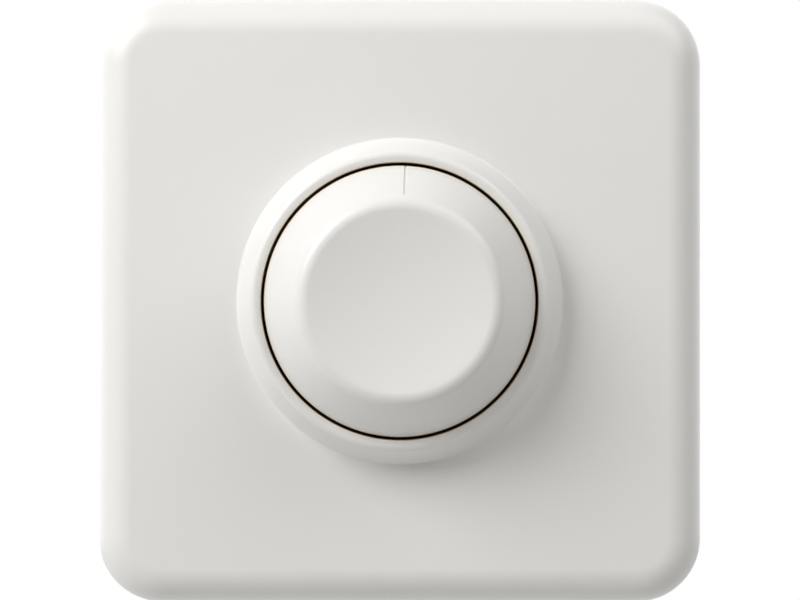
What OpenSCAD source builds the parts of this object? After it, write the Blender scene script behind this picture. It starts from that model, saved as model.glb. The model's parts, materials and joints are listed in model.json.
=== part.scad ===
// Flush-mounted rotary dimmer: turning the knob sets the light, pushing it switches.
// Each sub-part is drawn with z pointing out of the wall and y upwards. on_wall() then
// stands it up, so that z is up, the front faces -y and the wall is the plane y = 0.
// The shaft's axis is the origin's y axis.

/* [Cover plate] */
// Width and height of the square cover plate
plate_w = 86; // [84:0.5:90]
// Distance from the wall to the flat front of the plate
plate_t = 9.5; // [9:0.1:12]
// Corner radius of the plate seen from the front
plate_corner_r = 9.2; // [8:0.1:12]
// Rounding along the front edge of the plate
plate_edge_r = 5; // [3:0.1:6]
// Thickness of the plate's outer wall
rim_wall = 2; // [1.6:0.1:2.4]
// Thickness of the plate's front
face_t = 2.2; // [1.8:0.1:2.6]
// Thickness of the ribs behind the front
plate_rib_w = 1.2; // [1:0.1:1.6]
// Depth of the ribs behind the front
plate_rib_h = 1.8; // [1:0.1:2.4]

/* [Collar and well] */
// Height of the collar above the plate
collar_h = 5.4; // [4.4:0.1:6.4]
// Width of the collar's inner land, from the well to the middle of the ridge
land_w = 0.9; // [0.7:0.1:1.4]
// Angle by which the land falls towards the well
land_slope = 12; // [6:1:16]
// Rounding of the collar's ridge
ridge_round = 0.8; // [0.5:0.1:1]
// Tilt of the collar's outer slope, measured between its normal and the axis
collar_tilt = 68; // [62:0.5:74]
// Rounding of the lip around the well
lip_round = 0.25; // [0.1:0.05:0.4]
// Thickness of the well's wall
well_wall = 2; // [1.6:0.1:2.4]
// Thickness of the well's floor
well_floor_t = 1.6; // [1.2:0.1:2]
// Height of the seat between the mounting plate and the well's floor
seat_h = 1.6; // [1.5:0.1:2]
// Radius of the seat
seat_r = 9; // [8:0.5:12]

/* [Knob] */
// Radius of the knob's skirt
knob_r = 19.05; // [18:0.05:20]
// Gap between the knob and the well
knob_gap = 0.4; // [0.3:0.05:0.6]
// How far the knob's edge lies below the collar's ridge
knob_edge_drop = 0.2; // [0:0.1:0.6]
// Rounding of the knob's edge
knob_edge_round = 0.3; // [0.1:0.1:0.5]
// Height of the skirt's foot above the well's floor
skirt_lift = 2.9; // [2.6:0.1:3.4]
// Tilt of the knob's flank, measured between its normal and the axis
flank_tilt = 58; // [52:1:62]
// Radius of the middle of the rim's rounding
rim_r = 13; // [12:0.1:14]
// Rounding of the rim
rim_round = 2; // [1.2:0.1:2.6]
// Radius of the sphere that hollows out the top
dish_r = 70; // [50:1:90]
// Thickness of the knob's wall
knob_wall = 1.9; // [1.5:0.1:2.2]
// Thickness of the knob's top at the middle of the dish
knob_top_t = 1.6; // [1.4:0.1:2]
// Number of ribs inside the knob
knob_ribs = 6; // [4:1:8]
// Thickness of the ribs inside the knob
knob_rib_w = 1; // [0.8:0.1:1.4]
// Depth of the ribs inside the knob
knob_rib_h = 3; // [2:0.1:3.2]
// Radius of the hub that holds the shaft
hub_r = 5.2; // [4.8:0.1:5.6]
// Width of the slots that let the hub spring
hub_slot_w = 0.8; // [0.6:0.1:1]
// Thickness of the spring ring around the hub
hub_clip_t = 0.5; // [0.4:0.1:0.8]
// Height of the spring ring around the hub
hub_clip_h = 1.8; // [1.4:0.1:2]

/* [Index mark] */
// Angle of the mark to the right of straight up
mark_turn = 2.6; // [-10:0.1:10]
// Width of the mark
mark_w = 0.34; // [0.2:0.02:0.6]
// Depth of the mark
mark_depth = 0.25; // [0.1:0.05:0.4]
// Length of the mark up the flank
mark_l = 7.8; // [5:0.1:8.2]

/* [Shaft and bush] */
// Radius of the shaft
shaft_r = 3; // [2.8:0.05:3.2]
// Radius of the shaft's lower journal
journal_r = 2.5; // [2.4:0.05:2.6]
// How far the flat is cut into the shaft and its journal
flat_cut = 1; // [0.6:0.1:1.2]
// Gap between the shaft's end and the end of its socket
shaft_end_gap = 0.4; // [0.3:0.1:0.8]
// Depth of the groove for the shaft's clip
groove_depth = 0.45; // [0.3:0.05:0.5]
// Thickness of the shaft's clip
clip_t = 0.5; // [0.4:0.05:0.6]
// Length of the shaft behind its clip
shaft_tip_l = 0.5; // [0.4:0.05:0.6]
// Distance that the knob and shaft travel when pushed
push_travel = 1.2; // [0.8:0.1:1.4]
// Radius of the threaded bush
bush_r = 5; // [4.8:0.1:5.2]
// How far the bush stands out of its nut
bush_proud = 1.5; // [1:0.1:2]
// Radius of the bush's flange
bush_flange_r = 6.2; // [6:0.1:6.6]
// Thickness of the bush's flange
bush_flange_t = 1; // [0.8:0.1:1.2]
// Width of the nut across its flats
nut_af = 14; // [13:0.5:15]
// Height of the nut
nut_h = 2.4; // [2:0.1:2.8]
// Thickness of the washer
washer_t = 0.5; // [0.4:0.1:0.8]
// Outer radius of the washer
washer_r = 8.6; // [8:0.1:9]

/* [Mounting plate] */
// Width and height of the steel plate
sheet_w = 71; // [69:0.5:72]
// Thickness of the steel plate
sheet_t = 1.2; // [1:0.1:1.5]
// Corner radius of the steel plate
sheet_corner_r = 6; // [3:0.5:10]
// Distance between two opposite fixing screws of the wall box
box_screw_span = 60; // [58:0.5:62]
// Width of the slots for the fixing screws
box_slot_w = 4.2; // [4:0.1:4.6]
// Length of the slots for the fixing screws
box_slot_l = 7; // [6:0.5:8]

/* [Rear housing] */
// Depth of the housing behind the wall's surface
housing_d = 25; // [24.5:0.1:28]
// Radius of the housing's rounded corners about the shaft's axis
housing_r = 26.2; // [26:0.1:26.4]
// Distance from the axis to the housing's flat sides
housing_half = 24; // [23.8:0.1:24.2]
// Thickness of the housing's wall
housing_wall = 1.5; // [1.2:0.1:1.8]
// Thickness of the housing's floor
housing_floor_t = 1.6; // [1.2:0.1:2]
// Distance of the housing's screws from the axis, across and upwards
boss_at = 16.3; // [16.1:0.1:16.4]
// Radius of the screw bosses
boss_r = 3; // [2.8:0.1:3.1]
// Depth of the screw bosses
boss_d = 11; // [10:0.5:13]
// Radius of the housing's screws
housing_screw_r = 1.45; // [1.2:0.05:1.6]
// Length of the housing's screws
housing_screw_l = 9; // [7:0.5:10]
// Thickness of the housing's screw heads
housing_head_t = 1.3; // [1:0.1:1.4]
// Reach of the ledges that carry the circuit board
ledge_reach = 1.4; // [1.2:0.1:1.8]
// Width of the ledges
ledge_w = 2; // [1.5:0.1:3]
// Distance of each ledge from the middle of its wall
ledge_at = 9; // [6:0.5:10]
// Number of vent slots
vents = 5; // [3:1:6]
// Width of a vent slot
vent_w = 1.2; // [1:0.1:1.5]
// Length of a vent slot
vent_l = 7; // [5:0.5:8]
// Distance between two vent slots
vent_pitch = 3.2; // [2.6:0.1:3.6]
// Height of the middle of the vent slots above the axis
vent_at = 12; // [8:0.5:14]

/* [Circuit board] */
// Thickness of the circuit board
board_t = 1.6; // [1.2:0.1:2]
// Gap between the board and the housing's wall
board_gap = 0.5; // [0.3:0.1:0.7]
// Thickness of the insulating sheet
insulator_t = 0.3; // [0.2:0.05:0.4]
// Radius of a component's lead
lead_r = 0.3; // [0.25:0.05:0.4]
// How far a lead stands out of the board
lead_proud = 0.35; // [0.2:0.05:0.4]

/* [Turning control] */
// Depth of the control's case
case_h = 6.4; // [6.2:0.1:7]
// Radius of the control's case
case_r = 8.5; // [8.4:0.1:8.7]
// Thickness of the case's wall, front and floor
case_wall = 1; // [0.8:0.1:1.1]
// Thickness of the resistance track
track_t = 0.5; // [0.3:0.1:0.7]
// Width of the resistance track
track_w = 1.6; // [1.4:0.1:1.7]
// Width of the collector ring
collector_w = 0.9; // [0.8:0.1:1]
// Angle of the gap in the resistance track
track_gap_angle = 60; // [50:1:70]
// Thickness of the rotor's disc
rotor_t = 1.2; // [1:0.1:1.3]
// Radius of the rotor's hub
rotor_hub_r = 4; // [3.9:0.05:4.1]
// Width of a solder lug
lug_w = 1; // [0.8:0.1:1.2]
// Distance between two solder lugs
lug_pitch = 5; // [4:0.1:5.2]

/* [Push switch] */
// Width of the switch's case
switch_w = 11; // [10.6:0.1:11.2]
// Depth of the switch's case
switch_h = 7.4; // [7.2:0.1:8]
// Thickness of the switch's wall
switch_wall = 0.9; // [0.8:0.1:1]
// Radius of the plunger's stem
plunger_r = 2.75; // [2.7:0.05:2.9]
// Radius of the plunger's flange
plunger_flange_r = 3.4; // [3.3:0.1:3.6]
// Thickness of the plunger's flange
plunger_flange_t = 0.8; // [0.6:0.1:1]
// Radius of the pin that centres the spring
spring_pin_r = 1; // [0.8:0.05:1.1]
// Middle radius of the return spring
spring_r = 1.75; // [1.7:0.05:1.8]
// Radius of the return spring's wire
spring_wire_r = 0.2; // [0.15:0.01:0.22]
// Number of turns of the return spring
spring_turns = 5; // [4:1:6]
// Thickness of the contact blades
blade_t = 0.4; // [0.3:0.05:0.5]
// Width of the contact blades
blade_w = 2; // [1.6:0.1:2.4]
// Width of the bridge between the contacts
bridge_w = 2.8; // [2.4:0.1:3.2]
// Length of the pin that centres the spring
spring_pin_l = 1.6; // [1.2:0.1:1.8]

/* [Terminals] */
// Distance between two terminals
terminal_pitch = 8; // [7.8:0.1:8.2]
// Width of a terminal
terminal_w = 6.4; // [6.2:0.1:6.6]
// Depth of a terminal along its wire
terminal_l = 9.4; // [9:0.1:10]
// Radius of the hole for the wire
wire_r = 1.9; // [1.6:0.05:2]
// Depth of the hole for the wire
wire_depth = 7.8; // [7:0.1:8.2]
// Radius of a terminal screw
terminal_screw_r = 1.5; // [1.4:0.05:1.6]
// Radius of a terminal screw's head
terminal_head_r = 2.4; // [2.2:0.05:2.5]
// Thickness of a terminal screw's head
terminal_head_t = 2; // [1.4:0.1:2.2]
// Height of a terminal from its foot on the housing's lower wall
terminal_h = 8; // [7.5:0.1:8.5]
// Gap between the terminals and the nearest point of the housing's wall
terminal_gap = 0.6; // [0.4:0.1:1]
// Thickness of the walls between the terminals
terminal_wall = 1.2; // [1:0.1:1.4]
// Brass left above the hole for the wire
terminal_roof = 0.9; // [0.7:0.1:1.2]
// Width of the tail that joins a terminal to the board
tail_w = 3; // [2:0.1:4]
// Thickness of the tail
tail_t = 0.8; // [0.6:0.1:1]

/* [Components] */
// Radius of the choke's ring core
core_r = 7.2; // [7:0.05:7.25]
// Radius of the hole in the choke's core
core_hole_r = 3.6; // [3.4:0.1:3.8]
// Height of the choke's core
core_h = 7.5; // [7:0.1:8.5]
// Thickness of the choke's winding
winding_t = 0.8; // [0.6:0.05:0.85]
// Number of turns that show on the choke
winding_turns = 20; // [16:1:24]
// Width, depth and height of the film capacitor
film_cap = [13, 6, 12]; // [5:0.1:14]
// Width, depth and height of the timing capacitor
timing_cap = [7.2, 2.6, 6.5]; // [2:0.1:8]
// Radius of a resistor's body
resistor_r = 1.2; // [1:0.05:1.3]
// Length of a resistor's body
resistor_l = 6.3; // [5:0.1:6.6]
// Distance between two resistors
resistor_pitch = 3.5; // [2.8:0.1:3.8]
// Distance from the housing's wall to the nearest resistor's middle
resistor_inset = 3; // [2:0.1:3.4]
// Length of the fuse
fuse_l = 20; // [19:0.5:20.5]
// Radius of the fuse's caps
fuse_r = 2.6; // [2.5:0.05:2.65]
// Width of the trimmer's body
trimmer_w = 6.8; // [6.4:0.1:7]
// Radius of the trimmer's rotor
trimmer_r = 2.55; // [2.3:0.05:2.6]
// Height of the trimmer's body
trimmer_h = 4; // [3.8:0.1:4.2]

/* [Hidden] */
$fn = 96;

// Clearances
running = 0.05;
slip = 0.1;
loose = 0.3;
cut = 1;

// Inside of the housing
inner_half = housing_half - housing_wall;
inner_r = housing_r - housing_wall;

// Levels along the shaft's axis, from the housing's floor to the top of the knob
floor_in_z = -housing_d + housing_floor_t;
board_front_z = -case_h;
board_back_z = board_front_z - board_t;
seat_top_z = sheet_t + seat_h;
well_floor_z = seat_top_z + well_floor_t;
nut_z = well_floor_z + washer_t;
bush_top_z = nut_z + nut_h + bush_proud;
hub_foot_z = bush_top_z + push_travel + loose + slip;
skirt_foot_z = well_floor_z + skirt_lift;
collar_top_z = plate_t + collar_h;
knob_edge_z = collar_top_z - knob_edge_drop;
rim_z = knob_edge_z + (sin(flank_tilt) * (knob_r - rim_r) - rim_round) / cos(flank_tilt);
dish_z = rim_z + sqrt(pow(dish_r + rim_round, 2) - pow(rim_r, 2));
ceiling_z = dish_z - dish_r - knob_top_t;
shaft_top_z = ceiling_z - shaft_end_gap;

// Well and collar
well_r = knob_r + knob_gap;
well_outer_r = well_r + well_wall;
ridge_r = well_r + land_w;
ridge_z = collar_top_z - ridge_round;
bush_hole_r = bush_r + slip;

// Shaft: shoulder, journal, clip groove and flats
bush_back_z = -case_wall - bush_flange_t;
rotor_top_z = bush_back_z - slip;
shoulder_z = rotor_top_z + push_travel + loose;
rotor_foot_z = -case_h + case_wall / 2;
clip_r = rotor_hub_r - shaft_tip_l;
groove_r = journal_r - groove_depth;
groove_top_z = rotor_foot_z;
shaft_foot_z = groove_top_z - clip_t - 2 * running - shaft_tip_l;

// Turning control
case_floor_z = -case_h + case_wall;
case_in_r = case_r - case_wall;
track_top_z = case_floor_z + track_t;
track_out_r = case_in_r - 0.2;
collector_in_r = rotor_hub_r + loose;
rotor_r = case_in_r - 0.7;
contact_t = 0.2;
lug_reach = case_r + 1.1;
lug_t = 0.5;

// Push switch, from the board backwards
switch_in = switch_w / 2 - switch_wall;
switch_front_z = board_back_z - case_wall;
flange_top_z = switch_front_z - running;
flange_back_z = flange_top_z - plunger_flange_t;
bridge_back_z = flange_back_z - blade_t;
rivet_t = 0.2;
rivet_r = 0.6;
pad_top_z = bridge_back_z - rivet_t - push_travel - slip;
switch_floor_z = board_back_z - switch_h + case_wall;
bridge_half = switch_in - 1;
blade_out = switch_in - slip;
plunger_tip_z = shaft_foot_z - running;
board_hole_r = clip_r + loose;

// Terminals
terminal_x = [-terminal_pitch, 0, terminal_pitch];
terminal_side = terminal_pitch + terminal_w / 2;
terminal_foot_y = terminal_gap - min(inner_half, sqrt(pow(inner_r, 2) - pow(terminal_side, 2)));
wire_y = terminal_foot_y + terminal_h - wire_r - terminal_roof;
terminal_screw_z = floor_in_z + wire_depth / 2;
wire_hole_r = wire_r + 2 * loose;

// Places of the components on the board, seen from the front
boss_places = [[boss_at, boss_at], [-boss_at, -boss_at]];
choke_at = [-11.8, 10.8];
choke_lift = 0.6;
choke_top_z = board_back_z - choke_lift;
core_top_z = choke_top_z - winding_t;
choke_leads = [for (a = [-20, 20]) choke_at + (core_r + 0.2) * [cos(a), sin(a)]];
film_cap_at = [12.7, 8];
film_cap_leads = [for (s = [-1, 1]) film_cap_at + [s * 5, 0]];
timing_cap_at = [11.6, -7.7];
timing_cap_leads = [for (s = [-1, 1]) timing_cap_at + [s * 2.5, 0]];
resistor_x = [for (i = [2:-1:0]) inner_half - resistor_inset - i * resistor_pitch];
resistor_y = -1.5;
resistor_lead_span = 4.2;
resistor_z = board_front_z + resistor_r + slip;
diac_at = [-4, -16.5];
diac_r = 0.95;
diac_l = 4.2;
diac_lead_span = 4.5;
diac_z = board_front_z + diac_r + slip;
fuse_at = [-16.8, 0];
fuse_z = board_front_z + fuse_r + 0.6;
fuse_cap_l = 5;
fuse_clip_l = 4;
trimmer_at = [14, -12.5];
trimmer_leads = [for (p = [[-2.5, -2.5], [2.5, -2.5], [0, 2.5]]) trimmer_at + p];
trimmer_stem_r = 1;
trimmer_stem_l = 2;
trimmer_rotor_t = 0.8;
trimmer_top_z = board_front_z + trimmer_h;
trimmer_seat_z = trimmer_top_z - trimmer_rotor_t;

// Triac: body, cooling tab and leads, seen from the front
triac_w = 10.2;
pad_margin = 0.4;
triac_body_x = -8;
triac_body_l = 9.2;
triac_tab_l = 6.3;
triac_roof_y = min(inner_half, sqrt(pow(inner_r, 2) - pow(triac_body_x - pad_margin, 2)));
triac_y = triac_roof_y - loose - pad_margin - triac_w / 2;
triac_tab_t = 1.3;
triac_body_t = 4.5;
triac_pitch = 2.54;
triac_lead_x = triac_body_x - 2.4;
triac_hole_x = triac_body_x + triac_body_l + triac_tab_l - 2.9;
triac_screw_r = 1.5;

// Points along an arc, from angle a0 to a1
function arc(c, r, a0, a1, n = 10) =
    [for (i = [0:n]) c + r * [cos(a0 + (a1 - a0) * i / n), sin(a0 + (a1 - a0) * i / n)]];

module on_wall() rotate([90, 0, 0]) children();

module ring(r_out, r_in, z0, z1) {
    translate([0, 0, z0]) difference() {
        cylinder(r = r_out, h = z1 - z0);
        translate([0, 0, -cut]) cylinder(r = r_in, h = z1 - z0 + 2 * cut);
    }
}

module rod(r, z0, z1) translate([0, 0, z0]) cylinder(r = r, h = z1 - z0);

// A block given by its lowest and highest corner
module block(low, high) translate(low) cube(high - low);

// A circle with a flat at height y
module flat_circle(r, y) {
    difference() {
        circle(r);
        translate([-2 * r, y]) square([4 * r, 2 * r]);
    }
}

// A lead that goes through the board at a place given from the front
module through_board(at, r, top_z) {
    translate(at) rod(r, board_back_z - lead_proud, top_z);
}

// Square slab with rounded corners and a rounded front edge, from z0 up to t
module slab(w, corner_r, edge_r, z0, t) {
    half = w / 2 - corner_r;
    for (i = [0:3]) rotate(90 * i) translate([half, half, 0]) {
        rotate_extrude(angle = 90) slab_edge(corner_r, edge_r, z0, t);
        rotate([90, 0, 0]) linear_extrude(2 * half) slab_edge(corner_r, edge_r, z0, t);
    }
    block([-half, -half, z0], [half, half, t]);
}

module slab_edge(corner_r, edge_r, z0, t) {
    polygon(concat(
        [[0, z0], [corner_r, z0]],
        arc([corner_r - edge_r, t - edge_r], edge_r, 0, 90),
        [[0, t]]
    ));
}

// Section of the seat, well, collar and lip, turned about the shaft's axis
module well_section() {
    land_start = [ridge_r, ridge_z] + ridge_round * [cos(90 + land_slope), sin(90 + land_slope)];
    lip_x = well_r + lip_round;
    lip_z = land_start[1] - (land_start[0] - lip_x) * tan(land_slope) - lip_round / cos(land_slope);
    slope_z = ridge_z + ridge_round * cos(collar_tilt);
    base_r = ridge_r + ridge_round * sin(collar_tilt) + (slope_z - plate_t) / tan(collar_tilt);
    polygon(concat(
        [
            [bush_hole_r, sheet_t], [seat_r, sheet_t], [seat_r, seat_top_z],
            [well_outer_r, seat_top_z], [well_outer_r, plate_t - face_t / 2],
            [base_r, plate_t - face_t / 2], [base_r, plate_t]
        ],
        arc([ridge_r, ridge_z], ridge_round, 90 - collar_tilt, 90 + land_slope),
        arc([lip_x, lip_z], lip_round, 90 + land_slope, 180, 4),
        [[well_r, well_floor_z], [bush_hole_r, well_floor_z]]
    ));
}

module cover_plate() {
    color("whitesmoke") on_wall() {
        difference() {
            slab(plate_w, plate_corner_r, plate_edge_r, 0, plate_t);
            slab(
                plate_w - 2 * rim_wall, plate_corner_r - rim_wall,
                max(plate_edge_r - rim_wall, cut), -cut, plate_t - face_t
            );
            rod((well_r + well_outer_r) / 2, 0, plate_t + cut);
        }
        rotate_extrude() well_section();
        plate_ribs();
    }
}

// Ribs from the well to the four corners
module plate_ribs() {
    corner = (plate_w / 2 - plate_corner_r) * sqrt(2) + plate_corner_r;
    top = plate_t - face_t;
    for (a = [45:90:315]) rotate(a)
        block(
            [well_outer_r - well_wall / 2, -plate_rib_w / 2, top - plate_rib_h],
            [corner - rim_wall / 2 - cut / 2, plate_rib_w / 2, top + face_t / 4]
        );
}

// Outer outline of the knob in section, from the middle of the dish to the skirt
function knob_outline() =
    let (
        tangent = atan2(rim_z - dish_z, rim_r),
        edge_z = knob_edge_z - knob_edge_round * (1 - sin(flank_tilt)) / cos(flank_tilt)
    )
    concat(
        arc([0, dish_z], dish_r, -90, tangent, 12),
        arc([rim_r, rim_z], rim_round, 180 + tangent, 90 - flank_tilt, 12),
        arc([knob_r - knob_edge_round, edge_z], knob_edge_round, 90 - flank_tilt, 0, 4)
    );

module knob() {
    inner_r = knob_r - knob_wall;
    color("whitesmoke") on_wall() difference() {
        union() {
            rotate_extrude() difference() {
                polygon(concat(knob_outline(), [[knob_r, skirt_foot_z], [0, skirt_foot_z]]));
                polygon([
                    [-cut, skirt_foot_z - cut], [inner_r, skirt_foot_z - cut],
                    [inner_r, knob_inner_z()], [knob_ceiling_r(), ceiling_z], [-cut, ceiling_z]
                ]);
            }
            rod(hub_r, hub_foot_z, ceiling_z + knob_top_t / 4);
            knob_rib_ring();
        }
        translate([0, 0, hub_foot_z - cut]) linear_extrude(ceiling_z - hub_foot_z + cut)
            flat_circle(shaft_r + running, shaft_r - flat_cut + running);
        block(
            [-hub_r - cut / 2, -hub_slot_w / 2, hub_foot_z - cut],
            [hub_r + cut / 2, hub_slot_w / 2, hub_foot_z + 2 * hub_clip_h]
        );
        index_mark();
    }
}

// Height at which the inside of the skirt turns into the inside of the flank
function knob_inner_z() = knob_edge_z - knob_wall * (1 - sin(flank_tilt)) / cos(flank_tilt);

// Radius of the flank's inside where it meets the ceiling
function knob_ceiling_r() =
    knob_r - knob_wall - (ceiling_z - knob_inner_z()) / tan(flank_tilt);

// Ribs between the hub and the flank
module knob_rib_ring() {
    foot_z = ceiling_z - knob_rib_h;
    half_wall = knob_wall / 2;
    outer_foot_r = knob_r - half_wall - (foot_z - knob_inner_z()) / tan(flank_tilt);
    for (i = [0:knob_ribs - 1]) rotate(360 * (i + 0.5) / knob_ribs)
        rotate([90, 0, 0]) translate([0, 0, -knob_rib_w / 2]) linear_extrude(knob_rib_w)
            polygon([
                [hub_r - cut / 2, foot_z], [outer_foot_r, foot_z],
                [knob_ceiling_r() + half_wall / 2, ceiling_z + knob_top_t / 4],
                [hub_r - cut / 2, ceiling_z + knob_top_t / 4]
            ]);
}

// Fine groove up the flank
module index_mark() {
    rotate(90 - mark_turn) translate([knob_r, 0, knob_edge_z]) rotate([0, 180 + flank_tilt, 0])
        block([-cut, -mark_w / 2, -mark_depth], [mark_l, mark_w / 2, mark_depth]);
}

// Spring ring that closes the hub on the shaft
module knob_clip() {
    z0 = hub_foot_z + hub_clip_h / 2;
    color("silver") on_wall() difference() {
        ring(hub_r + hub_clip_t, hub_r, z0, z0 + hub_clip_h);
        block([-hub_r / 3, -2 * hub_r, z0 - cut], [hub_r / 3, 0, z0 + hub_clip_h + cut]);
    }
}

module shaft() {
    color("silver") on_wall() difference() {
        union() {
            translate([0, 0, hub_foot_z]) linear_extrude(shaft_top_z - hub_foot_z)
                flat_circle(shaft_r, shaft_r - flat_cut);
            rod(shaft_r, shoulder_z, hub_foot_z);
            translate([0, 0, shaft_foot_z]) linear_extrude(shoulder_z - shaft_foot_z)
                flat_circle(journal_r, journal_r - flat_cut);
        }
        ring(shaft_r, groove_r, groove_top_z - clip_t - 2 * running, groove_top_z);
    }
}

// Open ring in the shaft's groove, which keeps the shaft in the rotor
module shaft_clip() {
    z1 = groove_top_z - running;
    color("dimgray") on_wall() difference() {
        ring(clip_r, groove_r + running, z1 - clip_t, z1);
        block([-groove_r, -2 * clip_r, z1 - clip_t - cut], [groove_r, 0, z1 + cut]);
    }
}

module bush() {
    color("gold") on_wall() difference() {
        union() {
            rod(bush_flange_r, bush_back_z, -case_wall);
            rod(bush_r, -case_wall, bush_top_z - slip);
            translate([0, 0, bush_top_z - slip]) cylinder(r1 = bush_r, r2 = bush_r - slip, h = slip);
        }
        rod(shaft_r + running, bush_back_z - cut, bush_top_z + cut);
    }
}

module bush_washer() {
    color("silver") on_wall() ring(washer_r, bush_hole_r, well_floor_z, nut_z);
}

module bush_nut() {
    color("gold") on_wall() translate([0, 0, nut_z]) difference() {
        cylinder(r = nut_af / 2 / cos(30), h = nut_h, $fn = 6);
        translate([0, 0, -cut]) cylinder(r = bush_r + running, h = nut_h + 2 * cut);
    }
}

// Slot of the given length along x, for a screw along z
module slot(l, w, z0, z1) {
    for (s = [-1, 1]) translate([s * (l - w) / 2, 0, 0]) rod(w / 2, z0, z1);
    block([-(l - w) / 2, -w / 2, z0], [(l - w) / 2, w / 2, z1]);
}

module mounting_plate() {
    half = sheet_w / 2 - sheet_corner_r;
    color("lightgray") on_wall() difference() {
        union() {
            for (x = [-half, half], y = [-half, half]) translate([x, y, 0])
                rod(sheet_corner_r, 0, sheet_t);
            block([-half, -sheet_w / 2, 0], [half, sheet_w / 2, sheet_t]);
            block([-sheet_w / 2, -half, 0], [sheet_w / 2, half, sheet_t]);
        }
        rod(bush_hole_r, -cut, sheet_t + cut);
        for (a = [0:90:270]) rotate(a) translate([box_screw_span / 2, 0, 0])
            slot(box_slot_l, box_slot_w, -cut, sheet_t + cut);
        for (p = boss_places) translate(p) rod(housing_screw_r + slip, -cut, sheet_t + cut);
        translate([triac_hole_x, triac_y, 0]) rod(triac_screw_r + running, -cut, sheet_t + cut);
        translate(trimmer_at) rod(trimmer_r - slip, -cut, sheet_t + cut);
    }
}

// Outline of the housing, drawn in by the given distance
module housing_outline(inset = 0) {
    intersection() {
        circle(housing_r - inset);
        square(2 * (housing_half - inset), center = true);
    }
}

module insulating_sheet() {
    color("wheat") on_wall() translate([0, 0, -insulator_t]) difference() {
        linear_extrude(insulator_t) housing_outline(housing_wall + board_gap);
        rod(case_r + slip, -cut, cut);
        translate([triac_body_x - pad_margin - slip, triac_y - triac_w / 2 - pad_margin - slip, -cut])
            cube([
                triac_body_l + triac_tab_l + 2 * (pad_margin + slip),
                triac_w + 2 * (pad_margin + slip), 2 * cut
            ]);
        for (p = boss_places) translate(p) rod(boss_r + loose, -cut, cut);
        translate(trimmer_at) rod(trimmer_r + loose, -cut, cut);
    }
}

module rear_housing() {
    color("dimgray") on_wall() difference() {
        union() {
            difference() {
                translate([0, 0, -housing_d]) linear_extrude(housing_d) housing_outline();
                translate([0, 0, floor_in_z]) linear_extrude(housing_d)
                    housing_outline(housing_wall);
            }
            for (p = boss_places) translate(p) rod(boss_r, -boss_d, 0);
            boss_webs();
            board_ledges();
            terminal_walls();
        }
        for (p = boss_places) translate(p) rod(housing_screw_r + running, -boss_d + cut, cut);
        for (x = terminal_x) {
            translate([x, wire_y, 0]) wire_entry();
            translate([x, 0, terminal_screw_z]) rotate([90, 0, 0])
                rod(terminal_head_r + loose, -terminal_foot_y, housing_half + cut);
        }
        vent_slots();
    }
}

// Webs, a little shorter than the screw bosses, that tie them to the housing's rounded corners
module boss_webs() {
    half_wall = housing_wall / 2;
    for (a = [45, 225]) rotate(a) block(
        [boss_at * sqrt(2), -half_wall, half_wall - boss_d],
        [housing_r - half_wall, half_wall, -half_wall]
    );
}

// Ledges up the walls, on which the circuit board lies
module board_ledges() {
    reach = inner_half - ledge_reach;
    for (a = [0, 90, 180], s = [-1, 1]) rotate(a) translate([0, s * ledge_at, 0])
        block(
            [reach, -ledge_w / 2, floor_in_z - housing_floor_t / 2],
            [housing_half - housing_wall / 2, ledge_w / 2, board_back_z]
        );
}

// Walls between the terminals, which also carry the board's lower edge
module terminal_walls() {
    for (s = [-1, 1]) translate([s * terminal_pitch / 2, 0, 0])
        block(
            [-terminal_wall / 2, -housing_half + housing_wall / 2, floor_in_z - housing_floor_t / 2],
            [terminal_wall / 2, terminal_foot_y + terminal_h, board_back_z]
        );
}

// Hole in the housing's floor with a funnel that guides the wire
module wire_entry() {
    rod(wire_hole_r, -housing_d - cut, floor_in_z + cut / 2);
    translate([0, 0, -housing_d - slip])
        cylinder(r1 = wire_hole_r + 0.9, r2 = wire_hole_r, h = housing_floor_t / 2 + slip);
}

module vent_slots() {
    for (i = [0:vents - 1]) translate([(i - (vents - 1) / 2) * vent_pitch, vent_at, 0])
        block(
            [-vent_w / 2, -vent_l / 2, -housing_d - cut],
            [vent_w / 2, vent_l / 2, floor_in_z + cut]
        );
}

// Screws through the mounting plate into the housing's bosses
module housing_screws() {
    head_r = housing_screw_r * 1.8;
    color("silver") on_wall() for (p = boss_places) translate(p) difference() {
        union() {
            rod(head_r, sheet_t, sheet_t + housing_head_t);
            rod(housing_screw_r, sheet_t - housing_screw_l, sheet_t + housing_head_t / 2);
        }
        for (a = [0, 90]) rotate(a)
            block(
                [-head_r / 2, -0.3, sheet_t + housing_head_t / 2],
                [head_r / 2, 0.3, sheet_t + housing_head_t + cut]
            );
    }
}

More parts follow.
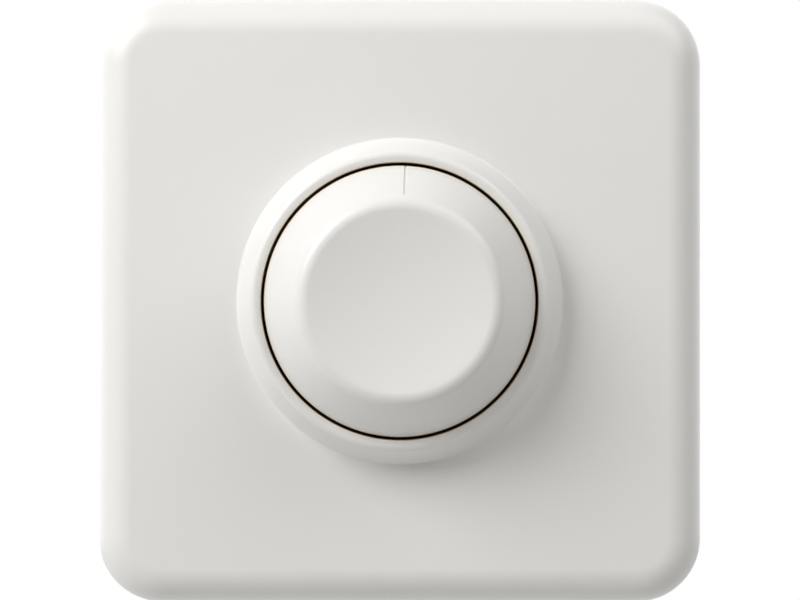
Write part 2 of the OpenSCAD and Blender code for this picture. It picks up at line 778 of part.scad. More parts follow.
module circuit_board() {
    leads = concat(
        choke_leads, film_cap_leads, timing_cap_leads, trimmer_leads,
        [for (x = resistor_x, s = [-1, 1]) [x, resistor_y + s * resistor_lead_span]],
        [for (s = [-1, 1]) diac_at + [s * diac_lead_span, 0]],
        [for (i = [-1:1]) [triac_lead_x, triac_y + i * triac_pitch]],
        [for (s = [-1, 1]) fuse_at + [0, s * (fuse_l - fuse_cap_l) / 2]]
    );
    color("darkgreen") on_wall() translate([0, 0, board_back_z]) difference() {
        linear_extrude(board_t) housing_outline(housing_wall + board_gap);
        rod(board_hole_r, -cut, board_t + cut);
        for (p = boss_places) translate(p) rod(boss_r + loose, -cut, board_t + cut);
        for (p = leads) translate(p) rod(lead_r + slip, -cut, board_t + cut);
        for (i = [-1:1]) lug_slot(i, -cut, board_t + cut);
        for (a = [0, 180]) rotate(a) block(
            [blade_out - blade_t - slip, -blade_w / 2 - slip, -cut],
            [blade_out + slip, blade_w / 2 + slip, board_t + cut]
        );
        for (x = terminal_x) block(
            [x - tail_w / 2 - slip, terminal_foot_y + terminal_h - tail_t - slip, -cut],
            [x + tail_w / 2 + slip, terminal_foot_y + terminal_h + slip, board_t + cut]
        );
    }
}

// Slot for the solder lug number i of the turning control
module lug_slot(i, z0, z1) {
    block(
        [i * lug_pitch - lug_w / 2 - slip, -lug_reach - slip, z0],
        [i * lug_pitch + lug_w / 2 + slip, -lug_reach + lug_t + slip, z1]
    );
}

// Cup of the turning control, with windows for its lugs
module control_case() {
    color("darkslategray") on_wall() difference() {
        rod(case_r, -case_h, 0);
        rod(case_in_r, case_floor_z, -case_wall);
        rod(rotor_hub_r + running, -case_h - cut, case_floor_z + cut);
        rod(bush_r + running, -case_wall - cut, cut);
        for (i = [-1:1]) block(
            [i * lug_pitch - lug_w / 2 - slip, -case_r - cut, case_floor_z],
            [i * lug_pitch + lug_w / 2 + slip, -case_in_r / 2, track_top_z + slip]
        );
    }
}

// Lug number i of the turning control, from radius r out of the case and through the board
module lug(i, r) {
    x = i * lug_pitch;
    block([x - lug_w / 2, -lug_reach, case_floor_z], [x + lug_w / 2, -r, track_top_z]);
    block(
        [x - lug_w / 2, -lug_reach, board_back_z - lead_proud],
        [x + lug_w / 2, -lug_reach + lug_t, track_top_z]
    );
}

// Open resistance track with a lug at each end
module resistance_track() {
    in_r = track_out_r - track_w;
    sweep = 360 - track_gap_angle;
    color("black") on_wall() {
        rotate(-90 + track_gap_angle / 2) rotate_extrude(angle = sweep)
            translate([in_r, case_floor_z]) square([track_w, track_t]);
        for (s = [-1, 1]) lug(s, in_r * 0.8);
    }
}

// Ring from which the middle lug takes the current
module collector_ring() {
    color("gold") on_wall() {
        ring(collector_in_r + collector_w, collector_in_r, case_floor_z, track_top_z);
        lug(0, collector_in_r + collector_w / 2);
    }
}

module wiper_rotor() {
    color("ivory") on_wall() difference() {
        union() {
            rod(rotor_r, rotor_top_z - rotor_t, rotor_top_z);
            rod(rotor_hub_r, rotor_foot_z, rotor_top_z);
        }
        translate([0, 0, rotor_foot_z - cut]) linear_extrude(case_h + cut)
            flat_circle(journal_r + running, journal_r - flat_cut + running);
    }
}

// Spring contact under the rotor, with one arm on the track and one on the collector
module wiper_contact() {
    top = rotor_top_z - rotor_t;
    drop = top - track_top_z - running;
    arm_w = 0.6;
    inner = collector_in_r + collector_w / 2;
    outer = track_out_r - track_w / 2;
    color("goldenrod") on_wall() rotate(90) {
        block([rotor_hub_r + slip, -1.2, top - contact_t], [rotor_r, 0, top]);
        for (r = [inner, outer]) translate([r + arm_w / 2, 0, 0]) rotate([0, -90, 0])
            linear_extrude(arm_w) polygon([
                [top, -0.8], [top - contact_t, -0.8], [top - drop, 0.8], [top - drop, 1.3],
                [top - drop + contact_t, 1.3], [top - drop + 2 * contact_t, 0.9], [top, -0.2]
            ]);
    }
}

module switch_case() {
    half = switch_w / 2;
    color("linen") on_wall() difference() {
        block([-half, -half, board_back_z - switch_h], [half, half, board_back_z]);
        block([-switch_in, -switch_in, switch_floor_z], [switch_in, switch_in, switch_front_z]);
        rod(plunger_r + running, switch_front_z - cut, board_back_z + cut);
        for (a = [0, 180]) rotate(a) block(
            [blade_out - blade_t - running, -blade_w / 2 - running, switch_front_z - cut],
            [blade_out + running, blade_w / 2 + running, board_back_z + cut]
        );
    }
}

module switch_plunger() {
    color("orangered") on_wall() {
        rod(plunger_r, flange_top_z, plunger_tip_z);
        rod(plunger_flange_r, flange_back_z, flange_top_z);
        rod(spring_pin_r, bridge_back_z - spring_pin_l, flange_back_z);
    }
}

// Bridge that closes the switch, carried on the plunger
module moving_contact() {
    color("goldenrod") on_wall() difference() {
        union() {
            block(
                [-bridge_half, -bridge_w / 2, bridge_back_z], [bridge_half, bridge_w / 2, flange_back_z]
            );
            rod(spring_r + 3 * spring_wire_r, bridge_back_z, flange_back_z);
            for (s = [-1, 1]) translate([s * (bridge_half - rivet_r), 0, 0])
                rod(rivet_r, bridge_back_z - rivet_t, flange_back_z);
        }
        rod(spring_pin_r + running, bridge_back_z - cut, flange_back_z + cut);
    }
}

// Two blades, each with a tail through the board and a pad under the bridge
module fixed_contacts() {
    side = blade_w / 2;
    shelf_z = pad_top_z - blade_t;
    color("goldenrod") on_wall() for (a = [0, 180]) rotate(a) {
        block([blade_out - blade_t, -side, shelf_z], [blade_out, side, board_front_z]);
        block([bridge_half - 2 * rivet_r, -side, shelf_z], [blade_out, side, pad_top_z]);
        block(
            [bridge_half - rivet_r, -side, switch_floor_z],
            [bridge_half - rivet_r + blade_t, side, shelf_z + blade_t / 2]
        );
    }
}

// Coil of round wire between the switch's floor and the bridge
module return_spring() {
    z0 = switch_floor_z + running;
    z1 = bridge_back_z - running;
    color("silver") on_wall() coil(spring_r, spring_wire_r, z0, z1, spring_turns);
}

module coil(r, wire, z0, z1, turns, steps = 16, sides = 8) {
    n = turns * steps;
    rise = (z1 - z0 - 2 * wire) / n;
    points = [for (i = [0:n], j = [0:sides - 1])
        let (a = 360 * i / steps, b = 360 * j / sides, x = r + wire * cos(b))
        [x * cos(a), x * sin(a), z0 + wire + rise * i + wire * sin(b)]];
    walls = [for (i = [0:n - 1], j = [0:sides - 1])
        let (k = (j + 1) % sides, p = i * sides, q = p + sides)
        each [[p + j, q + k, p + k], [p + j, q + j, q + k]]];
    ends = [[for (j = [0:sides - 1]) j], [for (j = [sides - 1:-1:0]) n * sides + j]];
    polyhedron(points = points, faces = concat(walls, ends), convexity = 2 * turns);
}

// Brass blocks that clamp the wires, each with a tail to the board
module terminals() {
    top = floor_in_z + terminal_l;
    back_y = terminal_foot_y + terminal_h;
    color("gold") on_wall() for (x = terminal_x) translate([x, 0, 0]) difference() {
        union() {
            block([-terminal_w / 2, terminal_foot_y, floor_in_z], [terminal_w / 2, back_y, top]);
            block(
                [-tail_w / 2, back_y - tail_t, top - cut],
                [tail_w / 2, back_y, board_front_z + lead_proud]
            );
        }
        translate([0, wire_y, 0]) rod(wire_r, floor_in_z - cut, floor_in_z + wire_depth);
        translate([0, 0, terminal_screw_z]) rotate([90, 0, 0])
            rod(terminal_screw_r + running, -wire_y, -terminal_foot_y + cut);
    }
}

// Screws that press the wires, with slotted heads in the housing's lower wall
module terminal_screws() {
    head_y = terminal_foot_y;
    color("silver") on_wall() for (x = terminal_x) translate([x, 0, terminal_screw_z])
        rotate([90, 0, 0]) difference() {
            union() {
                rod(terminal_screw_r, -(wire_y - wire_r - slip), -head_y);
                rod(terminal_head_r, -head_y, -head_y + terminal_head_t);
            }
            block(
                [-terminal_head_r - cut, -0.3, -head_y + terminal_head_t / 2],
                [terminal_head_r + cut, 0.3, -head_y + terminal_head_t + cut]
            );
        }
}

module choke_core() {
    color("darkgray") on_wall() translate(choke_at)
        ring(core_r, core_hole_r, core_top_z - core_h, core_top_z);
}

// Winding around the core, with a groove between each two turns and two leads
module choke_winding() {
    foot_z = core_top_z - core_h - winding_t;
    groove = winding_t / 2;
    color("chocolate") on_wall() {
        translate(choke_at) difference() {
            ring(core_r + winding_t, core_hole_r - winding_t, foot_z, choke_top_z);
            ring(
                core_r + running, core_hole_r - running,
                core_top_z - core_h - running, core_top_z + running
            );
            for (i = [0:winding_turns - 1]) rotate(360 * (i + 0.5) / winding_turns) {
                block(
                    [core_r + winding_t - groove, -groove / 2, foot_z - cut],
                    [core_r + winding_t + cut, groove / 2, choke_top_z + cut]
                );
                for (z = [foot_z, choke_top_z]) block(
                    [core_hole_r, -groove / 2, z - groove / 2],
                    [core_r + cut, groove / 2, z + groove / 2]
                );
            }
        }
        for (p = choke_leads) through_lead(p, choke_top_z - groove);
    }
}

// Lead that rises from a component behind the board through to the board's front
module through_lead(at, z0) translate(at) rod(lead_r, z0, board_front_z + lead_proud);

// Moulded box with two leads, behind the board
module box_capacitor(size, at, leads) {
    translate([at[0] - size[0] / 2, at[1] - size[1] / 2, board_back_z - size[2]])
        cube(size);
    for (p = leads) through_lead(p, board_back_z - cut);
}

module film_capacitor() {
    color("gold") on_wall() box_capacitor(film_cap, film_cap_at, film_cap_leads);
}

module timing_capacitor() {
    color("firebrick") on_wall() box_capacitor(timing_cap, timing_cap_at, timing_cap_leads);
}

// Power switch: moulded body, cooling tab and three bent leads
module triac() {
    half = triac_w / 2;
    top = -insulator_t;
    lead_z = top - triac_body_t / 2;
    tab_x = triac_body_x + triac_body_l;
    color("dimgray") on_wall() difference() {
        union() {
            block(
                [triac_body_x, triac_y - half, top - triac_body_t], [tab_x, triac_y + half, top]
            );
            block(
                [tab_x - cut, triac_y - half, top - triac_tab_t],
                [tab_x + triac_tab_l, triac_y + half, top]
            );
            for (i = [-1:1]) translate([0, triac_y + i * triac_pitch, 0]) {
                through_board([triac_lead_x, 0], lead_r, lead_z + lead_r);
                translate([triac_lead_x, 0, lead_z]) rotate([0, 90, 0])
                    rod(lead_r, 0, triac_body_x - triac_lead_x + cut);
            }
        }
        translate([triac_hole_x, triac_y, 0])
            rod(triac_screw_r + 2 * slip, top - triac_tab_t - cut, cut);
    }
}

module triac_pad() {
    low = [triac_body_x - pad_margin, triac_y - triac_w / 2 - pad_margin, -insulator_t];
    size = [
        triac_body_l + triac_tab_l + 2 * pad_margin, triac_w + 2 * pad_margin, insulator_t
    ];
    color("lightgray") on_wall() difference() {
        translate(low) cube(size);
        translate([triac_hole_x, triac_y, 0]) rod(triac_screw_r + 2 * slip, -cut, cut);
    }
}

// Screw that clamps the triac's tab to the mounting plate
module triac_screw() {
    tab_back = -insulator_t - triac_tab_t;
    head_t = 1.6;
    color("silver") on_wall() translate([triac_hole_x, triac_y, 0]) difference() {
        union() {
            rod(triac_screw_r, tab_back, sheet_t);
            rod(triac_screw_r * 1.8, tab_back - head_t, tab_back);
        }
        block(
            [-triac_screw_r, -0.3, tab_back - head_t - cut],
            [triac_screw_r, 0.3, tab_back - head_t / 2]
        );
    }
}

module fuse_at_ends() for (a = [0, 180]) translate([fuse_at[0], fuse_at[1], fuse_z])
    rotate(a) rotate([90, 0, 0]) children();

module fuse_tube() {
    color("aliceblue", 0.6) on_wall() translate([fuse_at[0], fuse_at[1], fuse_z])
        rotate([90, 0, 0]) rod(fuse_r - loose, -fuse_l / 2 + 0.5, fuse_l / 2 - 0.5);
}

module fuse_caps() {
    color("silver") on_wall() fuse_at_ends() difference() {
        rod(fuse_r, fuse_l / 2 - fuse_cap_l, fuse_l / 2);
        rod(fuse_r - loose + running, 0, fuse_l / 2 - 0.5);
    }
}

// Spring clips on the board, open towards the front
module fuse_clips() {
    clip_t = 0.4;
    middle = (fuse_l - fuse_cap_l) / 2;
    grip_r = fuse_r + running;
    color("silver") on_wall() for (s = [-1, 1]) translate(fuse_at + [0, s * middle]) {
        difference() {
            translate([0, 0, fuse_z]) rotate([90, 0, 0])
                ring(grip_r + clip_t, grip_r, -fuse_clip_l / 2, fuse_clip_l / 2);
            block(
                [-fuse_r * 2, -fuse_clip_l, fuse_z + fuse_r / 2],
                [fuse_r * 2, fuse_clip_l, fuse_z + 2 * fuse_r]
            );
        }
        difference() {
            block(
                [-fuse_r / 2, -fuse_clip_l / 2, board_front_z],
                [fuse_r / 2, fuse_clip_l / 2, board_front_z + cut]
            );
            translate([0, 0, fuse_z]) rotate([90, 0, 0])
                rod(grip_r + clip_t / 2, -fuse_clip_l, fuse_clip_l);
        }
        rod(lead_r, board_back_z - lead_proud, board_front_z + clip_t / 2);
    }
}

// Body lying on the board along y, with a bent lead at each end
module axial_part(r, l, span, z) {
    translate([0, 0, z]) rotate([90, 0, 0]) {
        rod(r, -l / 2, l / 2);
        rod(lead_r, -span - lead_r, span + lead_r);
    }
    for (s = [-1, 1]) through_board([0, s * span], lead_r, z);
}

module resistors() {
    color("tan") on_wall() for (x = resistor_x) translate([x, resistor_y, 0])
        axial_part(resistor_r, resistor_l, resistor_lead_span, resistor_z);
}

module diac() {
    color("royalblue") on_wall() translate(diac_at) rotate(90)
        axial_part(diac_r, diac_l, diac_lead_span, diac_z);
}

// Small preset that sets the lowest light
module trimmer_body() {
    half = trimmer_w / 2;
    color("royalblue") on_wall() {
        translate(trimmer_at) difference() {
            block([-half, -half, board_front_z], [half, half, trimmer_top_z]);
            rod(trimmer_r + slip, trimmer_seat_z, trimmer_top_z + cut);
            rod(trimmer_stem_r + running, trimmer_seat_z - trimmer_stem_l - slip, trimmer_top_z);
        }
        for (p = trimmer_leads) through_board(p, lead_r, board_front_z + cut / 2);
    }
}

module trimmer_rotor() {
    z0 = trimmer_seat_z + slip;
    z1 = trimmer_top_z + trimmer_rotor_t;
    color("white") on_wall() translate(trimmer_at) difference() {
        union() {
            rod(trimmer_r, z0, z1);
            rod(trimmer_stem_r, trimmer_seat_z - trimmer_stem_l, z0);
        }
        for (a = [0, 90]) rotate(a)
            block([-trimmer_r * 0.7, -0.35, z1 - 0.7], [trimmer_r * 0.7, 0.35, z1 + cut]);
    }
}

cover_plate();
knob();
knob_clip();
shaft();
shaft_clip();
bush();
bush_washer();
bush_nut();
mounting_plate();
insulating_sheet();
rear_housing();
housing_screws();
circuit_board();
control_case();
resistance_track();
collector_ring();
wiper_rotor();
wiper_contact();
switch_case();
switch_plunger();
moving_contact();
fixed_contacts();
return_spring();
terminals();
terminal_screws();
choke_core();
choke_winding();
film_capacitor();
timing_capacitor();
triac();
triac_pad();
triac_screw();
fuse_tube();
fuse_caps();
fuse_clips();
resistors();
diac();
trimmer_body();
trimmer_rotor();
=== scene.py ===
import json
from math import atan2, cos, pi, radians, sin, sqrt, tan

import bmesh
import bpy
from mathutils import Matrix, Vector


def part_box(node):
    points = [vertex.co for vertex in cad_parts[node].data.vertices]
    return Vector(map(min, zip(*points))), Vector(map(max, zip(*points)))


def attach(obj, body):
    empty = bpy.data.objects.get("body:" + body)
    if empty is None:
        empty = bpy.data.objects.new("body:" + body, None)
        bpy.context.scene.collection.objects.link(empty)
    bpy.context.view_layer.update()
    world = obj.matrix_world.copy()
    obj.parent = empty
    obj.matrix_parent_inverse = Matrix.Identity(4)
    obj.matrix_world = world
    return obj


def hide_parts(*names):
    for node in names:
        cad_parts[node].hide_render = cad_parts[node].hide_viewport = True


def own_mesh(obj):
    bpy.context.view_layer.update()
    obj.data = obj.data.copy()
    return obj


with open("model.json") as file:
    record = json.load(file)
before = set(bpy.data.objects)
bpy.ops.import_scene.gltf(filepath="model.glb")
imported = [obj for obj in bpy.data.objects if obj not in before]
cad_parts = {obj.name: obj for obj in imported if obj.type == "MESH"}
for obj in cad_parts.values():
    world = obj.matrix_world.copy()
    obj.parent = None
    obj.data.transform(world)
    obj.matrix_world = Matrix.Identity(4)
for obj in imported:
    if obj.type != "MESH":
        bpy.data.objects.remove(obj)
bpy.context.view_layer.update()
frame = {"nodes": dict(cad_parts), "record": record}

# Sizes are in metres. Heights are measured out of the wall, which is the plane y = 0
MM = 0.001
NEAR = 0.01 * MM
TURN_STEPS = 192
SIDE_STEPS = TURN_STEPS // 8

# Cover plate
plate_low, plate_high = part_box("cover_plate")
PLATE_W = plate_high.x - plate_low.x
PLATE_T = 9.5 * MM
PLATE_CORNER = 9.2 * MM
PLATE_EDGE = 5 * MM
RIM_WALL = 2 * MM
FACE_T = 2.2 * MM
FOOT_ROUND = 0.25 * MM
CREASE_ROUND = 0.3 * MM
PLATE_RIB_W = 1.2 * MM
PLATE_RIB_H = 1.8 * MM
PLATE_RIB_END = 1.8 * MM

# Collar, well and seat
COLLAR_TOP = -plate_low.y
WELL_R = 19.45 * MM
WELL_OUTER_R = 21.45 * MM
RIDGE_R = 20.35 * MM
RIDGE_ROUND = 0.8 * MM
LIP_ROUND = 0.25 * MM
LAND_SLOPE = radians(12)
COLLAR_TILT = radians(68)
SHEET_T = 1.2 * MM
SEAT_R = 9 * MM
SEAT_TOP = 2.8 * MM
WELL_FLOOR = 4.4 * MM
BUSH_HOLE_R = 5.1 * MM

# Knob
knob_low, knob_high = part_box("knob")
KNOB_R = knob_high.x
KNOB_TOP = -knob_low.y
SKIRT_FOOT = -knob_high.y
KNOB_EDGE = COLLAR_TOP - 0.2 * MM
KNOB_EDGE_ROUND = 0.3 * MM
FLANK_TILT = radians(58)
RIM_R = 13 * MM
RIM_ROUND = 2 * MM
RIM_HEIGHT = KNOB_TOP - RIM_ROUND
DISH_R = 70 * MM
KNOB_WALL = 1.9 * MM
KNOB_TOP_T = 1.6 * MM
HUB_R = 5.2 * MM
HUB_FOOT = 10.4 * MM
HUB_SLOT_W = 0.8 * MM
HUB_SLOT_TOP = 14 * MM
BORE_R = 3.05 * MM
BORE_FLAT = 2.05 * MM
KNOB_RIBS = 6
KNOB_RIB_W = 1 * MM
KNOB_RIB_H = 3 * MM
SKIRT_FOOT_ROUND = 0.3 * MM
MARK_TURN = radians(2.6)
MARK_W = 0.36 * MM
MARK_DEPTH = 0.2 * MM
MARK_L = 7.8 * MM
MARK_ROUND = 0.05 * MM

# Rear housing: a round body with four flats, open towards the front
HOUSING_R = 26.2 * MM
HOUSING_HALF = 24 * MM
HOUSING_D = 25 * MM
HOUSING_WALL = 1.5 * MM
HOUSING_FLOOR_T = 1.6 * MM
HOUSING_BACK_ROUND = 0.8 * MM
MOUTH_ROUND = 0.2 * MM
BOSS_AT = 16.3 * MM
BOSS_R = 3 * MM
BOSS_D = 11 * MM
BOSS_HOLE_R = 1.5 * MM
BOARD_BACK = 8 * MM
LEDGE_REACH = 1.4 * MM
LEDGE_W = 2 * MM
LEDGE_AT = 9 * MM
VENTS = 5
VENT_W = 1.2 * MM
VENT_L = 7 * MM
VENT_PITCH = 3.2 * MM
VENT_AT = 12 * MM
VENT_CORNER = 0.4 * MM

# Terminals and their screws
TERMINAL_PITCH = 8 * MM
TERMINAL_FOOT = -21.415 * MM
TERMINAL_H = 8 * MM
TERMINAL_WALL = 1.2 * MM
WIRE_UP = -16.215 * MM
WIRE_HOLE_R = 2.5 * MM
FUNNEL_FLARE = 0.9 * MM
TERMINAL_SCREW_BACK = 19.5 * MM
DRIVER_HOLE_R = 2.7 * MM
HOLE_STEPS = 64

# Mounting plate
SHEET_W = 71 * MM
SHEET_CORNER = 6 * MM
SHEET_EDGE_ROUND = 0.12 * MM
BOX_SCREW_AT = 30 * MM
BOX_SLOT_W = 4.2 * MM
BOX_SLOT_L = 7 * MM
SHEET_SCREW_HOLE_R = 1.55 * MM
PRESET_AT = (14 * MM, -12.5 * MM)
PRESET_HOLE_R = 2.45 * MM
TRIAC_SCREW_AT = (4.6 * MM, 16.7 * MM)

# Return spring of the push switch, whose back end stands still
spring_low, spring_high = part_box("return_spring")
SPRING_R = 1.75 * MM
SPRING_WIRE_R = 0.2 * MM
SPRING_TURNS = 5
SPRING_STEPS = 32
SPRING_WIRE_SIDES = 12

# View of the photograph: focal length in its pixels, and the pixel of the model's middle
PHOTO_W = 800
PHOTO_H = 600
PHOTO_FOCAL = 3460
MIDDLE_X = 399.6
MIDDLE_Y = 301.3
SENSOR_W = 36
CAMERA_AWAY = 0.5

# Even light of the surroundings, and each softbox by its turn from +X towards +Z, its tilt from
# straight ahead, its distance, its size and its power in watts
EVEN_LIGHT = 0.02
LAMPS = {
    "main_light": (140, 57, 0.7, 0.4, 4.1),
    "left_light": (180, 65, 0.7, 0.5, 0.35),
    "top_light": (90, 65, 0.7, 0.5, 0.35),
    "top_right_light": (45, 65, 0.7, 0.5, 2.0),
    "back_left_light": (150, 130, 0.9, 1.2, 3.6),
    "back_right_light": (30, 125, 0.9, 1.2, 2.4),
}

# Painted shade on the plastic: dark brown in the gap around the knob, and warm painted shade of
# bounced light beside it
GAP_PAINTED_SHADE = (0.36, 0.25, 0.13)
GAP_PAINTED_WARM_SHADE = (0.80, 0.72, 0.58)

# Floor
FLOOR_HEIGHT = -0.32
FLOOR_W = 6
FLOOR_COLOUR = (0.8, 0.8, 0.79, 1)
FLOOR_GLOW = 0.6


def arc(centre, radius, start, end, steps):
    """Points on a circle in a section, as (radius, height), from angle start to angle end."""
    angles = [start + (end - start) * step / steps for step in range(steps + 1)]
    return [(centre[0] + radius * cos(a), centre[1] + radius * sin(a)) for a in angles]


def deselect_all():
    bpy.ops.object.select_all(action="DESELECT")


def work_on(piece):
    """Makes the piece the only selected object and opens it in edit mode."""
    deselect_all()
    piece.select_set(True)
    bpy.context.view_layer.objects.active = piece
    bpy.ops.object.mode_set(mode="EDIT")


def leave_edit():
    bpy.ops.object.mode_set(mode="OBJECT")


def keep_place():
    """Puts the place and turn of a new primitive into its mesh."""
    bpy.ops.object.transform_apply(location=True, rotation=True, scale=True)


def name_piece(name):
    piece = bpy.context.view_layer.objects.active
    piece.name = name
    piece.data.name = name
    return piece


def pick(kind, test):
    """Selects what passes the test in edit mode: the VERT, EDGE or FACE items of the open mesh."""
    bpy.ops.mesh.select_mode(type=kind)
    bpy.ops.mesh.select_all(action="DESELECT")
    mesh = bmesh.from_edit_mesh(bpy.context.edit_object.data)
    items = {"VERT": mesh.verts, "EDGE": mesh.edges, "FACE": mesh.faces}[kind]
    for item in items:
        if test(item):
            item.select_set(True)
    mesh.select_flush_mode()
    bmesh.update_edit_mesh(bpy.context.edit_object.data)


def middle(item):
    """Middle of an edge or a face."""
    return sum((corner.co for corner in item.verts), Vector()) / len(item.verts)


def at_height(item, height):
    return all(abs(corner.co.y + height) < NEAR for corner in item.verts)


def is_sharp(edge, crease=radians(30)):
    return len(edge.link_faces) == 2 and edge.calc_face_angle() > crease


def extrude(move):
    bpy.ops.mesh.extrude_region_move(TRANSFORM_OT_translate={"value": move})


def merge_and_orient():
    """Closes seams and poles and turns all faces outwards."""
    bpy.ops.mesh.select_all(action="SELECT")
    bpy.ops.mesh.remove_doubles(threshold=NEAR / 10)
    bpy.ops.mesh.normals_make_consistent(inside=False)


def apply_modifier(piece, kind, **settings):
    deselect_all()
    piece.select_set(True)
    bpy.context.view_layer.objects.active = piece
    modifier = piece.modifiers.new(kind.title(), kind)
    for name, value in settings.items():
        setattr(modifier, name, value)
    bpy.ops.object.modifier_apply(modifier=modifier.name)


def combine(piece, other, how):
    """Adds the other closed body to the piece, or cuts it away, and takes it off the bench."""
    apply_modifier(piece, "BOOLEAN", operation=how, object=other, solver="EXACT")
    bpy.data.objects.remove(other, do_unlink=True)


def smooth_finish(piece, crease=radians(30)):
    """Smooth shading across gentle edges, with large flat faces kept flat."""
    deselect_all()
    piece.select_set(True)
    bpy.context.view_layer.objects.active = piece
    bpy.ops.object.shade_smooth_by_angle(angle=crease)
    apply_modifier(piece, "WEIGHTED_NORMAL", keep_sharp=True, weight=80)


def spun_section(name, section, steps=TURN_STEPS):
    """A section of (radius, height) points, drawn in order and spun about the shaft's axis."""
    deselect_all()
    bpy.ops.mesh.primitive_plane_add(size=MM)
    piece = name_piece(name)
    work_on(piece)
    bpy.ops.mesh.select_mode(type="VERT")
    bpy.ops.mesh.select_all(action="SELECT")
    bpy.ops.mesh.merge(type="CENTER")
    places = [Vector((radius, -height, 0)) for radius, height in section]
    bpy.ops.transform.translate(value=places[0])
    for here, there in zip(places, places[1:]):
        extrude(there - here)
    bpy.ops.mesh.select_all(action="SELECT")
    bpy.ops.mesh.spin(steps=steps, angle=2 * pi, center=(0, 0, 0), axis=(0, 1, 0))
    merge_and_orient()
    leave_edit()
    return piece


def block(name, low, high):
    """A closed block between two corners, used to add or cut a plain form."""
    deselect_all()
    low, high = Vector(low), Vector(high)
    bpy.ops.mesh.primitive_cube_add(size=1, location=(low + high) / 2, scale=high - low)
    keep_place()
    return name_piece(name)


def rod(name, radius, low, high, across=0, up=0, steps=48):
    """A closed cylinder along the shaft's axis, between two heights and at a place on the wall."""
    deselect_all()
    bpy.ops.mesh.primitive_cylinder_add(
        vertices=steps, radius=radius, depth=high - low, location=(across, -(low + high) / 2, up),
        rotation=(pi / 2, 0, 0)
    )
    keep_place()
    return name_piece(name)


def copy_moved(piece, move):
    """A copy with its own mesh, moved in its mesh."""
    deselect_all()
    piece.select_set(True)
    bpy.context.view_layer.objects.active = piece
    bpy.ops.object.duplicate()
    made = bpy.context.view_layer.objects.active
    made.data.transform(Matrix.Translation(move))
    return made


def join(pieces):
    """One object out of several that don't touch."""
    deselect_all()
    for piece in pieces:
        piece.select_set(True)
    bpy.context.view_layer.objects.active = pieces[0]
    bpy.ops.object.join()
    return pieces[0]


def turned_block(name, low, high, turn):
    """A block turned about the shaft's axis, counted from +X towards +Z."""
    made = block(name, low, high)
    made.data.transform(Matrix.Rotation(-turn, 4, "Y"))
    return made


def round_over(edge, sink=False, steps=14):
    """Carries the selected face round an edge of the given radius, by insets that also step."""
    way = -1 if sink else 1
    angles = [pi / 2 * step / steps for step in range(steps + 1)]
    for a, b in zip(angles, angles[1:]):
        bpy.ops.mesh.inset(
            thickness=edge * (cos(a) - cos(b)), depth=way * edge * (sin(b) - sin(a)),
            use_even_offset=True
        )


def collar_section():
    """Half section of the seat, the well and the collar, from the plate's front to its back."""
    ridge = (RIDGE_R, COLLAR_TOP - RIDGE_ROUND)
    ridge_arc = arc(ridge, RIDGE_ROUND, pi / 2 - COLLAR_TILT, pi / 2 + LAND_SLOPE, 14)
    land_start = ridge_arc[-1]
    lip_r = WELL_R + LIP_ROUND
    lip_height = land_start[1] - (land_start[0] - lip_r) * tan(LAND_SLOPE)
    lip = (lip_r, lip_height - LIP_ROUND / cos(LAND_SLOPE))
    slope_r, slope_height = ridge_arc[0]
    base_r = slope_r + (slope_height - PLATE_T) / tan(COLLAR_TILT)
    crease = (base_r + CREASE_ROUND * tan(COLLAR_TILT / 2), PLATE_T + CREASE_ROUND)
    crease_arc = arc(crease, CREASE_ROUND, -pi / 2, -pi / 2 - COLLAR_TILT, 6)
    well = [
        (WELL_R, WELL_FLOOR), (BUSH_HOLE_R, WELL_FLOOR), (BUSH_HOLE_R, SHEET_T),
        (SEAT_R, SHEET_T), (SEAT_R, SEAT_TOP), (WELL_OUTER_R, SEAT_TOP),
        (WELL_OUTER_R, PLATE_T - FACE_T),
    ]
    return crease_arc + ridge_arc + arc(lip, LIP_ROUND, pi / 2 + LAND_SLOPE, pi, 6) + well


def make_cover_shell():
    """Rounded square shell of the cover, open at its front and at the ceiling behind it."""
    deselect_all()
    bpy.ops.mesh.primitive_plane_add(size=PLATE_W, rotation=(pi / 2, 0, 0))
    keep_place()
    shell = name_piece("front_cover")
    work_on(shell)
    bpy.ops.mesh.select_all(action="SELECT")
    bpy.ops.mesh.bevel(
        offset=PLATE_CORNER, offset_type="OFFSET", segments=SIDE_STEPS, profile=0.5,
        affect="VERTICES"
    )
    pick("EDGE", lambda edge: edge.calc_length() > PLATE_W / 2)
    bpy.ops.mesh.subdivide(number_cuts=SIDE_STEPS - 1)
    bpy.ops.mesh.select_mode(type="FACE")
    bpy.ops.mesh.select_all(action="SELECT")
    extrude((0, -(PLATE_T - PLATE_EDGE), 0))
    round_over(PLATE_EDGE)
    bpy.ops.mesh.delete(type="FACE")
    pick("FACE", lambda face: at_height(face, 0))
    bpy.ops.mesh.inset(thickness=RIM_WALL, depth=0, use_even_offset=True)
    inner_edge = PLATE_EDGE - RIM_WALL
    extrude((0, -(PLATE_T - FACE_T - inner_edge), 0))
    round_over(inner_edge, sink=True)
    bpy.ops.mesh.delete(type="FACE")
    leave_edit()
    return shell


def bridge_at(height):
    """Closes the flat ring between the two open edges that lie at the given height."""
    pick("EDGE", lambda edge: edge.is_boundary and at_height(edge, height))
    bpy.ops.mesh.bridge_edge_loops()


